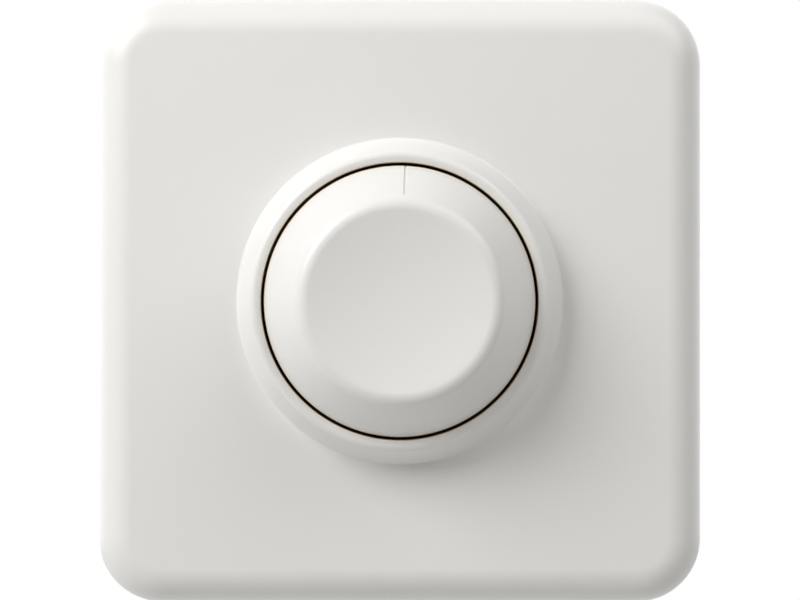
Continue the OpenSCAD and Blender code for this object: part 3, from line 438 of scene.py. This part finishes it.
def make_front_cover():
    """The square moulding: rounded shell, collar, well and seat, with ribs behind its face."""
    cover = make_cover_shell()
    well = spun_section("well", collar_section())
    deselect_all()
    cover.select_set(True)
    well.select_set(True)
    bpy.context.view_layer.objects.active = cover
    bpy.ops.object.join()
    work_on(cover)
    bridge_at(PLATE_T)
    bridge_at(PLATE_T - FACE_T)
    merge_and_orient()
    pick("EDGE", lambda edge: at_height(edge, 0) and is_sharp(edge))
    bpy.ops.mesh.bevel(offset=FOOT_ROUND, offset_type="OFFSET", segments=3, affect="EDGES")
    leave_edit()
    ceiling = PLATE_T - FACE_T
    corner = (PLATE_W / 2 - PLATE_CORNER) * sqrt(2) + PLATE_CORNER
    for quarter in range(4):
        rib = turned_block(
            "rib",
            (WELL_OUTER_R - MM, -ceiling - FACE_T / 4, -PLATE_RIB_W / 2),
            (corner - PLATE_RIB_END, -ceiling + PLATE_RIB_H, PLATE_RIB_W / 2),
            pi / 4 + quarter * pi / 2,
        )
        combine(cover, rib, "UNION")
    smooth_finish(cover)
    return cover


def dish_height():
    """Height of the middle of the sphere that hollows out the knob's top."""
    return RIM_HEIGHT + sqrt((DISH_R + RIM_ROUND) ** 2 - RIM_R ** 2)


def knob_ceiling():
    return dish_height() - DISH_R - KNOB_TOP_T


def knob_section():
    """Half section of the knob without its bore, from the middle of the dish round to the hub."""
    dish = (0, dish_height())
    tangent = atan2(RIM_HEIGHT - dish[1], RIM_R)
    edge_height = KNOB_EDGE - KNOB_EDGE_ROUND * (1 - sin(FLANK_TILT)) / cos(FLANK_TILT)
    ceiling = knob_ceiling()
    inner_r = KNOB_R - KNOB_WALL
    inner_turn = KNOB_EDGE - KNOB_WALL * (1 - sin(FLANK_TILT)) / cos(FLANK_TILT)
    ceiling_r = inner_r - (ceiling - inner_turn) / tan(FLANK_TILT)
    foot = SKIRT_FOOT + SKIRT_FOOT_ROUND
    return (
        arc(dish, DISH_R, -pi / 2, tangent, 16)
        + arc((RIM_R, RIM_HEIGHT), RIM_ROUND, pi + tangent, pi / 2 - FLANK_TILT, 16)
        + arc((KNOB_R - KNOB_EDGE_ROUND, edge_height), KNOB_EDGE_ROUND, pi / 2 - FLANK_TILT, 0, 6)
        + arc((KNOB_R - SKIRT_FOOT_ROUND, foot), SKIRT_FOOT_ROUND, 0, -pi / 2, 4)
        + arc((inner_r + SKIRT_FOOT_ROUND, foot), SKIRT_FOOT_ROUND, -pi / 2, -pi, 4)
        + [(inner_r, inner_turn), (ceiling_r, ceiling), (HUB_R, ceiling)]
        + [(HUB_R, HUB_FOOT), (0, HUB_FOOT)]
    )


def cut_index_mark(knob):
    """Fine groove of even width up the flank, cut into the spun faces and sunk along the flank."""
    across = Vector((cos(MARK_TURN), 0, -sin(MARK_TURN)))
    outwards = Vector((sin(MARK_TURN), 0, cos(MARK_TURN)))
    front = Vector((0, -1, 0))
    flank_normal = sin(FLANK_TILT) * outwards + cos(FLANK_TILT) * front
    up_flank = sin(FLANK_TILT) * front - cos(FLANK_TILT) * outwards
    mark_foot = KNOB_R * outwards + KNOB_EDGE * front
    mark_end = mark_foot + MARK_L * up_flank

    def near_mark(face):
        place = middle(face)
        faces_out = face.normal.dot(flank_normal) > cos(radians(25))
        return faces_out and place.dot(outwards) > RIM_R and abs(place.dot(across)) < 2 * MARK_W

    def in_groove(face):
        place = middle(face)
        below_end = (place - mark_end).dot(up_flank) < 0
        return near_mark(face) and below_end and abs(place.dot(across)) < MARK_W / 2

    def on_mouth(edge):
        place = middle(edge)
        depth = (place - mark_foot).dot(flank_normal)
        at_side = abs(abs(place.dot(across)) - MARK_W / 2) < NEAR
        within = abs(place.dot(across)) < MARK_W / 2
        at_end = abs((place - mark_end).dot(up_flank)) < NEAR and within
        return is_sharp(edge, radians(60)) and depth > -MARK_DEPTH / 2 and (at_side or at_end)

    work_on(knob)
    for point, normal in (
        (MARK_W / 2 * across, across), (-MARK_W / 2 * across, across), (mark_end, up_flank)
    ):
        pick("FACE", near_mark)
        bpy.ops.mesh.bisect(plane_co=point, plane_no=normal, threshold=NEAR / 10)
    pick("FACE", in_groove)
    extrude(-MARK_DEPTH * flank_normal)
    pick("EDGE", on_mouth)
    bpy.ops.mesh.bevel(offset=MARK_ROUND, offset_type="OFFSET", segments=2, affect="EDGES")
    leave_edit()


def knob_bore():
    """D-shaped cutter for the hub's socket."""
    deselect_all()
    top = knob_ceiling()
    foot = HUB_FOOT - MM
    bpy.ops.mesh.primitive_cylinder_add(
        vertices=96, radius=BORE_R, depth=top - foot, location=(0, -(top + foot) / 2, 0),
        rotation=(pi / 2, 0, 0)
    )
    keep_place()
    bore = name_piece("bore")
    work_on(bore)
    bpy.ops.mesh.select_all(action="SELECT")
    bpy.ops.mesh.bisect(
        plane_co=(0, 0, BORE_FLAT), plane_no=(0, 0, 1), use_fill=True, clear_outer=True,
        threshold=NEAR / 10
    )
    leave_edit()
    return bore


def knob_rib(turn):
    """Rib between the hub and the flank, with its outer end leaning in as the flank does."""
    top = knob_ceiling() + KNOB_TOP_T / 4
    foot = knob_ceiling() - KNOB_RIB_H
    inner_turn = KNOB_EDGE - KNOB_WALL * (1 - sin(FLANK_TILT)) / cos(FLANK_TILT)
    foot_r = KNOB_R - KNOB_WALL / 2 - (foot - inner_turn) / tan(FLANK_TILT)
    top_r = KNOB_R - 3 / 4 * KNOB_WALL - (knob_ceiling() - inner_turn) / tan(FLANK_TILT)
    rib = block("rib", (HUB_R - MM / 2, -top, -KNOB_RIB_W / 2), (foot_r, -foot, KNOB_RIB_W / 2))
    work_on(rib)
    pick("VERT", lambda corner: corner.co.x > HUB_R and corner.co.y < -knob_ceiling())
    bpy.ops.transform.translate(value=(top_r - foot_r, 0, 0))
    leave_edit()
    rib.data.transform(Matrix.Rotation(-turn, 4, "Y"))
    return rib


def make_turning_knob():
    """The knob: dished top, rim, flank and skirt, with hub, bore, slot, ribs and index mark."""
    knob = spun_section("turning_knob", knob_section())
    cut_index_mark(knob)
    combine(knob, knob_bore(), "DIFFERENCE")
    slot = block(
        "slot",
        (-HUB_R - MM / 2, -HUB_SLOT_TOP, -HUB_SLOT_W / 2),
        (HUB_R + MM / 2, -HUB_FOOT + MM, HUB_SLOT_W / 2),
    )
    combine(knob, slot, "DIFFERENCE")
    for number in range(KNOB_RIBS):
        combine(knob, knob_rib(2 * pi * (number + 0.5) / KNOB_RIBS), "UNION")
    smooth_finish(knob)
    return knob


def make_housing_cup():
    """Round cup with four flats and a rounded back edge."""
    housing = rod("rear_shell", HOUSING_R, -HOUSING_D, 0, steps=TURN_STEPS)
    work_on(housing)
    for quarter in range(4):
        outwards = Vector((cos(quarter * pi / 2), 0, sin(quarter * pi / 2)))
        bpy.ops.mesh.select_all(action="SELECT")
        bpy.ops.mesh.bisect(
            plane_co=HOUSING_HALF * outwards, plane_no=outwards, use_fill=True, clear_outer=True,
            threshold=NEAR / 10
        )
    pick("FACE", lambda face: at_height(face, 0))
    bpy.ops.mesh.inset(thickness=HOUSING_WALL, depth=0, use_even_offset=True)
    extrude((0, HOUSING_D - HOUSING_FLOOR_T, 0))
    pick("EDGE", lambda edge: at_height(edge, -HOUSING_D) and is_sharp(edge))
    bpy.ops.mesh.bevel(
        offset=HOUSING_BACK_ROUND, offset_type="OFFSET", segments=4, affect="EDGES"
    )
    leave_edit()
    return housing


def housing_fittings():
    """What stands inside the housing: screw bosses, board ledges and walls between terminals."""
    inner_half = HOUSING_HALF - HOUSING_WALL
    into_wall = HOUSING_HALF - HOUSING_WALL / 2
    into_floor = HOUSING_D - HOUSING_FLOOR_T / 2
    boss = rod("boss", BOSS_R, -BOSS_D, 0, BOSS_AT, BOSS_AT)
    fittings = [boss, copy_moved(boss, (-2 * BOSS_AT, 0, -2 * BOSS_AT))]
    for quarter in range(3):
        for side in (-1, 1):
            fittings.append(turned_block(
                "ledge",
                (inner_half - LEDGE_REACH, BOARD_BACK, side * LEDGE_AT - LEDGE_W / 2),
                (into_wall, into_floor, side * LEDGE_AT + LEDGE_W / 2),
                quarter * pi / 2,
            ))
    for side in (-1, 1):
        place = side * TERMINAL_PITCH / 2
        fittings.append(block(
            "terminal_wall",
            (place - TERMINAL_WALL / 2, BOARD_BACK, -into_wall),
            (place + TERMINAL_WALL / 2, into_floor, TERMINAL_FOOT + TERMINAL_H),
        ))
    return fittings


def vent_cutter():
    """Slot with rounded corners through the housing's floor."""
    slot = block(
        "vent", (-VENT_W / 2, HOUSING_D - HOUSING_FLOOR_T - MM, VENT_AT - VENT_L / 2),
        (VENT_W / 2, HOUSING_D + MM, VENT_AT + VENT_L / 2)
    )
    work_on(slot)
    pick("EDGE", lambda edge: abs(edge.verts[0].co.y - edge.verts[1].co.y) > MM)
    bpy.ops.mesh.bevel(offset=VENT_CORNER, offset_type="OFFSET", segments=4, affect="EDGES")
    leave_edit()
    return slot


def housing_cutters():
    """Screw holes, wire entries with their funnels, screwdriver holes and vents."""
    hole = rod("boss_hole", BOSS_HOLE_R, MM - BOSS_D, MM, BOSS_AT, BOSS_AT)
    cutters = [hole, copy_moved(hole, (-2 * BOSS_AT, 0, -2 * BOSS_AT))]
    floor_top = HOUSING_FLOOR_T + MM / 2 - HOUSING_D
    entry = spun_section("wire_entry", [
        (0, -HOUSING_D - MM), (WIRE_HOLE_R + FUNNEL_FLARE, -HOUSING_D - MM),
        (WIRE_HOLE_R + FUNNEL_FLARE, -HOUSING_D), (WIRE_HOLE_R, HOUSING_FLOOR_T / 2 - HOUSING_D),
        (WIRE_HOLE_R, floor_top), (0, floor_top),
    ], HOLE_STEPS)
    entry.data.transform(Matrix.Translation((0, 0, WIRE_UP)))
    deselect_all()
    bpy.ops.mesh.primitive_cylinder_add(
        vertices=HOLE_STEPS, radius=DRIVER_HOLE_R, depth=HOUSING_HALF + MM + TERMINAL_FOOT,
        location=(0, TERMINAL_SCREW_BACK, (TERMINAL_FOOT - HOUSING_HALF - MM) / 2)
    )
    keep_place()
    driver_hole = name_piece("driver_hole")
    for tool in (entry, driver_hole):
        cutters += [tool] + [copy_moved(tool, (side * TERMINAL_PITCH, 0, 0)) for side in (-1, 1)]
    vent = vent_cutter()
    for number in range(VENTS):
        cutters.append(copy_moved(vent, ((number - (VENTS - 1) / 2) * VENT_PITCH, 0, 0)))
    bpy.data.objects.remove(vent, do_unlink=True)
    return cutters


def make_rear_housing():
    """The insert's moulded housing, with fittings, holes, and vents rounded outside."""
    housing = make_housing_cup()
    combine(housing, join(housing_fittings()), "UNION")
    combine(housing, join(housing_cutters()), "DIFFERENCE")
    work_on(housing)
    vents_end = VENT_AT + VENT_L
    pick("EDGE", lambda edge: (
        at_height(edge, -HOUSING_D) and is_sharp(edge) and 0 < middle(edge).z < vents_end
    ))
    bpy.ops.mesh.bevel(offset=MOUTH_ROUND, offset_type="OFFSET", segments=3, affect="EDGES")
    leave_edit()
    smooth_finish(housing)
    return housing


def slot_cutter():
    """Long hole for a wall-box screw, pointing away from the shaft."""
    deselect_all()
    bpy.ops.mesh.primitive_plane_add(
        size=1, location=(BOX_SCREW_AT, MM, 0), rotation=(pi / 2, 0, 0)
    )
    keep_place()
    slot = name_piece("slot")
    work_on(slot)
    bpy.ops.mesh.select_all(action="SELECT")
    bpy.ops.transform.resize(
        value=(BOX_SLOT_L, 1, BOX_SLOT_W), center_override=(BOX_SCREW_AT, MM, 0)
    )
    bpy.ops.mesh.bevel(
        offset=BOX_SLOT_W / 2, offset_type="OFFSET", segments=16, profile=0.5, affect="VERTICES"
    )
    bpy.ops.mesh.select_mode(type="FACE")
    bpy.ops.mesh.select_all(action="SELECT")
    extrude((0, -SHEET_T - 2 * MM, 0))
    merge_and_orient()
    leave_edit()
    return slot


def make_fixing_plate():
    """Stamped steel plate with rounded corners, four long holes and eased edges."""
    deselect_all()
    bpy.ops.mesh.primitive_plane_add(size=SHEET_W, rotation=(pi / 2, 0, 0))
    keep_place()
    plate = name_piece("fixing_plate")
    work_on(plate)
    bpy.ops.mesh.select_all(action="SELECT")
    bpy.ops.mesh.bevel(
        offset=SHEET_CORNER, offset_type="OFFSET", segments=16, profile=0.5, affect="VERTICES"
    )
    bpy.ops.mesh.select_mode(type="FACE")
    bpy.ops.mesh.select_all(action="SELECT")
    extrude((0, -SHEET_T, 0))
    merge_and_orient()
    leave_edit()
    low, high = -MM, SHEET_T + MM
    slot = slot_cutter()
    cutters = [slot]
    for quarter in (1, 2, 3):
        turned = copy_moved(slot, (0, 0, 0))
        turned.data.transform(Matrix.Rotation(-quarter * pi / 2, 4, "Y"))
        cutters.append(turned)
    cutters.append(rod("bush_hole", BUSH_HOLE_R, low, high, steps=96))
    for place in (-BOSS_AT, BOSS_AT):
        cutters.append(rod("screw_hole", SHEET_SCREW_HOLE_R, low, high, place, place))
    cutters.append(rod("preset_hole", PRESET_HOLE_R, low, high, *PRESET_AT))
    cutters.append(rod("triac_hole", SHEET_SCREW_HOLE_R, low, high, *TRIAC_SCREW_AT))
    combine(plate, join(cutters), "DIFFERENCE")
    work_on(plate)
    pick("EDGE", lambda edge: is_sharp(edge) and (at_height(edge, 0) or at_height(edge, SHEET_T)))
    bpy.ops.mesh.bevel(offset=SHEET_EDGE_ROUND, offset_type="OFFSET", segments=2, affect="EDGES")
    leave_edit()
    smooth_finish(plate)
    return plate


def make_push_spring():
    """Coil spring: the wire's round section, carried along five turns, with both ends closed."""
    deselect_all()
    start = spring_high.y - SPRING_WIRE_R
    rise = (spring_high.y - spring_low.y - 2 * SPRING_WIRE_R) / SPRING_TURNS
    bpy.ops.mesh.primitive_circle_add(
        vertices=SPRING_WIRE_SIDES, radius=SPRING_WIRE_R, fill_type="NOTHING",
        location=(SPRING_R, start, 0)
    )
    keep_place()
    spring = name_piece("push_spring")
    apply_modifier(
        spring, "SCREW", axis="Y", angle=-2 * pi, screw_offset=-rise, iterations=SPRING_TURNS,
        steps=SPRING_STEPS, use_merge_vertices=False
    )
    work_on(spring)
    for front in (False, True):
        pick("EDGE", lambda edge: edge.is_boundary and (middle(edge).y < start - rise) == front)
        bpy.ops.mesh.edge_face_add()
    merge_and_orient()
    leave_edit()
    smooth_finish(spring)
    return spring


def set_camera():
    """Camera straight in front of the cover, at the photograph's distance and framing."""
    pixel = CAMERA_AWAY / PHOTO_FOCAL
    data = bpy.data.cameras.new("camera")
    data.sensor_width = SENSOR_W
    data.lens = SENSOR_W * PHOTO_FOCAL / PHOTO_W
    data.clip_start = CAMERA_AWAY / 100
    camera = bpy.data.objects.new("camera", data)
    bpy.context.collection.objects.link(camera)
    camera.location = (
        (PHOTO_W / 2 - MIDDLE_X) * pixel, -CAMERA_AWAY, (MIDDLE_Y - PHOTO_H / 2) * pixel
    )
    camera.rotation_euler = (pi / 2, 0, 0)
    bpy.context.scene.camera = camera


def soft_light(name, turn, tilt, away, size, power):
    """Square softbox in a direction given in degrees, turned to the middle of the object."""
    data = bpy.data.lights.new(name, "AREA")
    data.size = size
    data.energy = power
    lamp = bpy.data.objects.new(name, data)
    bpy.context.collection.objects.link(lamp)
    turn, tilt = radians(turn), radians(tilt)
    lamp.location = away * Vector((sin(tilt) * cos(turn), -cos(tilt), sin(tilt) * sin(turn)))
    lamp.rotation_euler = lamp.location.to_track_quat("Z", "Y").to_euler()
    return lamp


def wire(tree, socket, value):
    """Sets a socket to a value, or links another node's output to it."""
    if isinstance(value, bpy.types.NodeSocket):
        tree.links.new(value, socket)
    else:
        socket.default_value = value


def add_node(tree, kind, settings=None, **inputs):
    """Adds a shader node with its settings, and its inputs by name with _ for a space."""
    made = tree.nodes.new("ShaderNode" + kind)
    for name, value in (settings or {}).items():
        setattr(made, name, value)
    for name, value in inputs.items():
        wire(tree, made.inputs[name.replace("_", " ")], value)
    return made


def light_room():
    """White surroundings for what the camera and glossy surfaces see, and an even soft light."""
    world = bpy.data.worlds.new("surroundings")
    bpy.context.scene.world = world
    world.use_nodes = True
    tree = world.node_tree
    tree.nodes.clear()
    seen = seen_directly(tree)
    even = add_node(tree, "Background", Color=(1, 1, 1, 1), Strength=EVEN_LIGHT)
    white = add_node(tree, "Background", Color=(1, 1, 1, 1), Strength=1)
    mixed = add_node(tree, "MixShader", Fac=seen)
    tree.links.new(even.outputs[0], mixed.inputs[1])
    tree.links.new(white.outputs[0], mixed.inputs[2])
    out = tree.nodes.new("ShaderNodeOutputWorld")
    tree.links.new(mixed.outputs[0], out.inputs["Surface"])
    for name, settings in LAMPS.items():
        soft_light(name, *settings)


def seen_directly(tree):
    """1 where the camera, a reflection or a view through glass looks, and 0 for lighting."""
    path = tree.nodes.new("ShaderNodeLightPath")
    seen = path.outputs["Is Camera Ray"]
    for ray in ("Is Glossy Ray", "Is Transmission Ray"):
        larger = tree.nodes.new("ShaderNodeMath")
        larger.operation = "MAXIMUM"
        tree.links.new(seen, larger.inputs[0])
        tree.links.new(path.outputs[ray], larger.inputs[1])
        seen = larger.outputs[0]
    return seen


def lay_floor():
    """Plain white floor below the object, which keeps the object's soft shadow."""
    deselect_all()
    bpy.ops.mesh.primitive_plane_add(size=FLOOR_W, location=(0, 0, FLOOR_HEIGHT))
    keep_place()
    floor = name_piece("floor")
    material = bpy.data.materials.new("floor_white")
    material.use_nodes = True
    tree = material.node_tree
    shader = tree.nodes["Principled BSDF"]
    shader.inputs["Base Color"].default_value = FLOOR_COLOUR
    shader.inputs["Roughness"].default_value = 0.9
    shader.inputs["Specular IOR Level"].default_value = 0.1
    shader.inputs["Emission Color"].default_value = (1, 1, 1, 1)
    glow = add_node(tree, "Math", {"operation": "MULTIPLY"})
    tree.links.new(seen_directly(tree), glow.inputs[0])
    glow.inputs[1].default_value = FLOOR_GLOW
    tree.links.new(glow.outputs[0], shader.inputs["Emission Strength"])
    floor.data.materials.append(material)


def dress(piece, body, slot, *nodes):
    """Puts a finished piece in place of its nodes, on its body and with its slot's finish."""
    piece.data.materials.clear()
    piece.data.materials.append(finishes[slot])
    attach(piece, body)
    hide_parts(*nodes)


def new_material(name, roughness):
    """A plain material, with its tree, its surface shader and the Object coordinates."""
    material = bpy.data.materials.new(name)
    material.use_nodes = True
    tree = material.node_tree
    tree.nodes["Principled BSDF"].inputs["Roughness"].default_value = roughness
    place = add_node(tree, "TexCoord").outputs["Object"]
    return material, tree, tree.nodes["Principled BSDF"], place


def blend(tree, share, first, second):
    """Colour between two others, by a share of 0 to 1."""
    mixed = add_node(tree, "Mix", {"data_type": "RGBA"})
    wire(tree, mixed.inputs["Factor"], share)
    wire(tree, mixed.inputs[6], first)
    wire(tree, mixed.inputs[7], second)
    return mixed.outputs[2]


def spread(tree, value, low, high, start=0.0, end=1.0):
    """The value's range from start to end stretched to the range from low to high."""
    mapped = add_node(tree, "MapRange", Value=value)
    for name, limit in (("From Min", start), ("From Max", end), ("To Min", low), ("To Max", high)):
        mapped.inputs[name].default_value = limit
    return mapped.outputs["Result"]


def noise(tree, place, size, detail=3.0):
    return add_node(tree, "TexNoise", Vector=place, Scale=1 / size, Detail=detail).outputs["Fac"]


def grain(tree, shader, height, roughness, relief):
    """A fine grain that varies the gloss and the relief."""
    wire(tree, shader.inputs["Roughness"], spread(tree, height, roughness * 0.85, roughness * 1.2))
    bump = add_node(tree, "Bump", Height=height, Strength=0.6, Distance=relief)
    wire(tree, shader.inputs["Normal"], bump.outputs["Normal"])


def stretched(tree, place, scale):
    return add_node(tree, "Mapping", Vector=place, Scale=scale).outputs["Vector"]


def moulded(name, light, dark, roughness, size=0.35 * MM, relief=0.004 * MM):
    """Moulded plastic: two close tones in slow patches, with a fine grain in gloss and relief."""
    material, tree, shader, place = new_material(name, roughness)
    patches = noise(tree, place, 14 * MM, 2.0)
    wire(tree, shader.inputs["Base Color"], blend(tree, patches, (*dark, 1), (*light, 1)))
    grain(tree, shader, noise(tree, place, size), roughness, relief)
    return material


def paint_gap_shade(material):
    """Paints shade into the plastic: dark brown in the gap around the knob and a warmer painted
    shade beside it.
    """
    tree = material.node_tree
    colour = tree.nodes["Principled BSDF"].inputs["Base Color"]
    place = tree.nodes["Texture Coordinate"].outputs["Object"]
    across = add_node(tree, "VectorMath", {"operation": "MULTIPLY"})
    wire(tree, across.inputs[0], place)
    wire(tree, across.inputs[1], (1, 0, 1))
    radius = add_node(tree, "VectorMath", {"operation": "LENGTH"})
    wire(tree, radius.inputs[0], across.outputs["Vector"])
    aside = add_node(tree, "Math", {"operation": "SUBTRACT"})
    wire(tree, aside.inputs[0], radius.outputs["Value"])
    wire(tree, aside.inputs[1], (KNOB_R + WELL_R) / 2)
    away = add_node(tree, "Math", {"operation": "ABSOLUTE"})
    wire(tree, away.inputs[0], aside.outputs["Value"])
    # Painted shade by distance from the gap's middle: a warm fringe beside the gap, then dark
    # brown inside it
    for tint, near, far, most in (
        (GAP_PAINTED_WARM_SHADE, 0.25 * MM, 0.8 * MM, 0.5), (GAP_PAINTED_SHADE, 0.21 * MM, 0.3 * MM, 1.0)
    ):
        share = spread(tree, away.outputs["Value"], most, 0.0, near, far)
        wire(tree, colour, blend(tree, share, colour.links[0].from_socket, (*tint, 1)))
    return material


def metal(name, light, dark, roughness, stretch=(1, 1, 1), size=0.25 * MM, relief=0.003 * MM):
    """Bare or plated metal, with tone, gloss and relief that follow its rolling or turning."""
    material, tree, shader, place = new_material(name, roughness)
    shader.inputs["Metallic"].default_value = 1
    lines = noise(tree, stretched(tree, place, stretch), size)
    tone = blend(tree, noise(tree, place, 4 * MM, 2.0), (*dark, 1), (*light, 1))
    share = spread(tree, lines, 0, 0.3)
    wire(tree, shader.inputs["Base Color"], blend(tree, share, tone, (*dark, 1)))
    grain(tree, shader, lines, roughness, relief)
    return material


def galvanised(name, light, dark, roughness):
    """Zinc-coated sheet with large crystals that differ in tone and gloss."""
    material, tree, shader, place = new_material(name, roughness)
    shader.inputs["Metallic"].default_value = 1
    bent = add_node(tree, "VectorMath", {"operation": "MULTIPLY_ADD"})
    wobble = add_node(tree, "TexNoise", Vector=place, Scale=1 / (3 * MM), Detail=2.0)
    wire(tree, bent.inputs[0], wobble.outputs["Color"])
    wire(tree, bent.inputs[1], (1.5 * MM, 1.5 * MM, 1.5 * MM))
    wire(tree, bent.inputs[2], place)
    crystals = add_node(tree, "TexVoronoi", Vector=bent.outputs["Vector"], Scale=1 / (3.2 * MM))
    one = add_node(tree, "SeparateColor", Color=crystals.outputs["Color"]).outputs["Red"]
    wire(tree, shader.inputs["Base Color"], blend(tree, one, (*dark, 1), (*light, 1)))
    wire(tree, shader.inputs["Roughness"], spread(tree, one, roughness * 0.8, roughness * 1.3))
    bump = add_node(
        tree, "Bump", Height=noise(tree, place, 0.3 * MM), Strength=0.4, Distance=0.004 * MM
    )
    wire(tree, shader.inputs["Normal"], bump.outputs["Normal"])
    return material


def lacquered(name, light, dark, roughness, size=0.3 * MM):
    """Enamelled or dipped surface: coloured below a clear glossy coat."""
    material = moulded(name, light, dark, roughness, size)
    shader = material.node_tree.nodes["Principled BSDF"]
    shader.inputs["Coat Weight"].default_value = 0.8
    shader.inputs["Coat Roughness"].default_value = 0.08
    return material


def ringed_resistor(name, coat, bands):
    """Dipped resistor with coloured rings, each given by its place along the body and colour."""
    material = lacquered(name, coat, [0.9 * part for part in coat], 0.3)
    tree = material.node_tree
    colour = tree.nodes["Principled BSDF"].inputs["Base Color"]
    place = tree.nodes["Texture Coordinate"].outputs["Object"]
    up = add_node(tree, "SeparateXYZ", Vector=place).outputs["Z"]
    for middle_of_band, tint in bands:
        band = add_node(tree, "Math", {"operation": "COMPARE"})
        for index, value in enumerate((up, middle_of_band, 0.3 * MM)):
            wire(tree, band.inputs[index], value)
        wire(tree, colour, blend(
            tree, band.outputs["Value"], colour.links[0].from_socket, (*tint, 1)
        ))
    return material


def circuit_green(name, mask, track):
    """Solder mask over tracks that show as lighter lanes, with a fine woven grain in gloss and
    relief.
    """
    material, tree, shader, place = new_material(name, 0.3)
    shader.inputs["Coat Weight"].default_value = 0.4
    shader.inputs["Coat Roughness"].default_value = 0.15
    turned = add_node(tree, "Mapping", Vector=place, Rotation=(pi / 2, 0, 0)).outputs["Vector"]
    lanes = add_node(tree, "TexBrick", {"offset": 0.35}, Vector=turned, Scale=1.0)
    for name_of, value in (
        ("Brick Width", 7 * MM), ("Row Height", 2.6 * MM), ("Mortar Size", 0.35 * MM),
        ("Mortar Smooth", 0.2),
    ):
        lanes.inputs[name_of].default_value = value
    mixed = blend(tree, lanes.outputs["Fac"], (*track, 1), (*mask, 1))
    wire(tree, shader.inputs["Base Color"], mixed)
    weave = noise(tree, stretched(tree, place, (1, 1, 3)), 0.4 * MM)
    grain(tree, shader, weave, 0.3, 0.004 * MM)
    return material


def clear_glass(name):
    """Clear glass tube with slight unevenness in its gloss and surface."""
    material, tree, shader, place = new_material(name, 0.03)
    shader.inputs["Base Color"].default_value = (0.93, 0.97, 0.96, 1)
    shader.inputs["Transmission Weight"].default_value = 1
    shader.inputs["IOR"].default_value = 1.5
    grain(tree, shader, noise(tree, place, 1.2 * MM), 0.03, 0.002 * MM)
    return material


# Finishes, one for each slot of the record
ALONG_SHAFT = (0.05, 1, 0.05)
ACROSS_SHEET = (1, 1, 0.08)
finishes = {
    # The cover's and the knob's plastics carry painted shade in and beside the gap around the knob
    "cover_plastic": paint_gap_shade(
        moulded("cover_plastic", (0.86, 0.848, 0.822), (0.845, 0.833, 0.805), 0.36)
    ),
    "knob_plastic": paint_gap_shade(
        moulded("knob_plastic", (0.86, 0.85, 0.825), (0.845, 0.835, 0.81), 0.34)
    ),
    "housing_plastic": moulded(
        "housing_plastic", (0.05, 0.051, 0.053), (0.036, 0.037, 0.039), 0.5, 0.5 * MM, 0.012 * MM
    ),
    "case_plastic": moulded("case_plastic", (0.03, 0.04, 0.045), (0.02, 0.03, 0.035), 0.45),
    "rotor_plastic": moulded("rotor_plastic", (0.8, 0.77, 0.68), (0.75, 0.72, 0.62), 0.4),
    "switch_plastic": moulded("switch_plastic", (0.72, 0.69, 0.62), (0.66, 0.63, 0.56), 0.45),
    "plunger_plastic": moulded("plunger_plastic", (0.7, 0.12, 0.04), (0.6, 0.1, 0.03), 0.4),
    "insulator": moulded("insulator", (0.62, 0.5, 0.3), (0.55, 0.43, 0.25), 0.6),
    "board": circuit_green("board", (0.015, 0.1, 0.045), (0.04, 0.19, 0.08)),
    "carbon": moulded("carbon", (0.02, 0.02, 0.02), (0.012, 0.012, 0.012), 0.5),
    "iron_powder": moulded(
        "iron_powder", (0.62, 0.6, 0.3), (0.5, 0.46, 0.22), 0.6, 0.2 * MM, 0.02 * MM
    ),
    "capacitor_yellow": moulded("capacitor_yellow", (0.75, 0.5, 0.08), (0.7, 0.45, 0.06), 0.35),
    "capacitor_red": moulded("capacitor_red", (0.5, 0.06, 0.03), (0.42, 0.05, 0.025), 0.3),
    "epoxy": moulded("epoxy", (0.03, 0.03, 0.03), (0.02, 0.02, 0.02), 0.5, 0.12 * MM, 0.01 * MM),
    "resistor_coat": ringed_resistor("resistor_coat", (0.62, 0.45, 0.26), (
        (0.6 * MM, (0.12, 0.04, 0.015)), (-0.6 * MM, (0.01, 0.01, 0.01)),
        (-1.8 * MM, (0.6, 0.06, 0.02)), (-3.6 * MM, (0.5, 0.33, 0.08)),
    )),
    "preset_blue": moulded("preset_blue", (0.04, 0.12, 0.4), (0.03, 0.09, 0.32), 0.35),
    "fuse_glass": clear_glass("fuse_glass"),
    "copper_wire": lacquered("copper_wire", (0.62, 0.2, 0.07), (0.48, 0.14, 0.05), 0.35),
    "spring_steel": metal("spring_steel", (0.56, 0.56, 0.57), (0.46, 0.46, 0.48), 0.3),
    "turned_steel": metal(
        "turned_steel", (0.6, 0.6, 0.6), (0.5, 0.5, 0.51), 0.25, ALONG_SHAFT, 0.1 * MM
    ),
    "brass": metal("brass", (0.8, 0.6, 0.28), (0.68, 0.48, 0.2), 0.3, ALONG_SHAFT, 0.12 * MM),
    "nickel_brass": metal("nickel_brass", (0.72, 0.69, 0.62), (0.62, 0.59, 0.53), 0.25),
    "zinc_steel": galvanised("zinc_steel", (0.62, 0.63, 0.64), (0.46, 0.47, 0.49), 0.44),
    "zinc_screw": metal("zinc_screw", (0.66, 0.66, 0.67), (0.54, 0.54, 0.56), 0.3),
    "contact_bronze": metal(
        "contact_bronze", (0.75, 0.5, 0.3), (0.65, 0.42, 0.24), 0.3, ACROSS_SHEET
    ),
}
for row in frame["record"]["subparts"]:
    for place in frame["nodes"][row["node"]].material_slots:
        place.material = finishes[row["material_slot"]]

dress(make_front_cover(), "insert", "cover_plastic", "cover_plate")
dress(make_turning_knob(), "spindle", "knob_plastic", "knob")
dress(make_rear_housing(), "insert", "housing_plastic", "rear_housing")
dress(make_fixing_plate(), "insert", "zinc_steel", "mounting_plate")
push_spring = make_push_spring()
dress(push_spring, "insert", "spring_steel", "return_spring")
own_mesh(push_spring)

bpy.context.scene.view_settings.view_transform = "Standard"
set_camera()
light_room()
lay_floor()
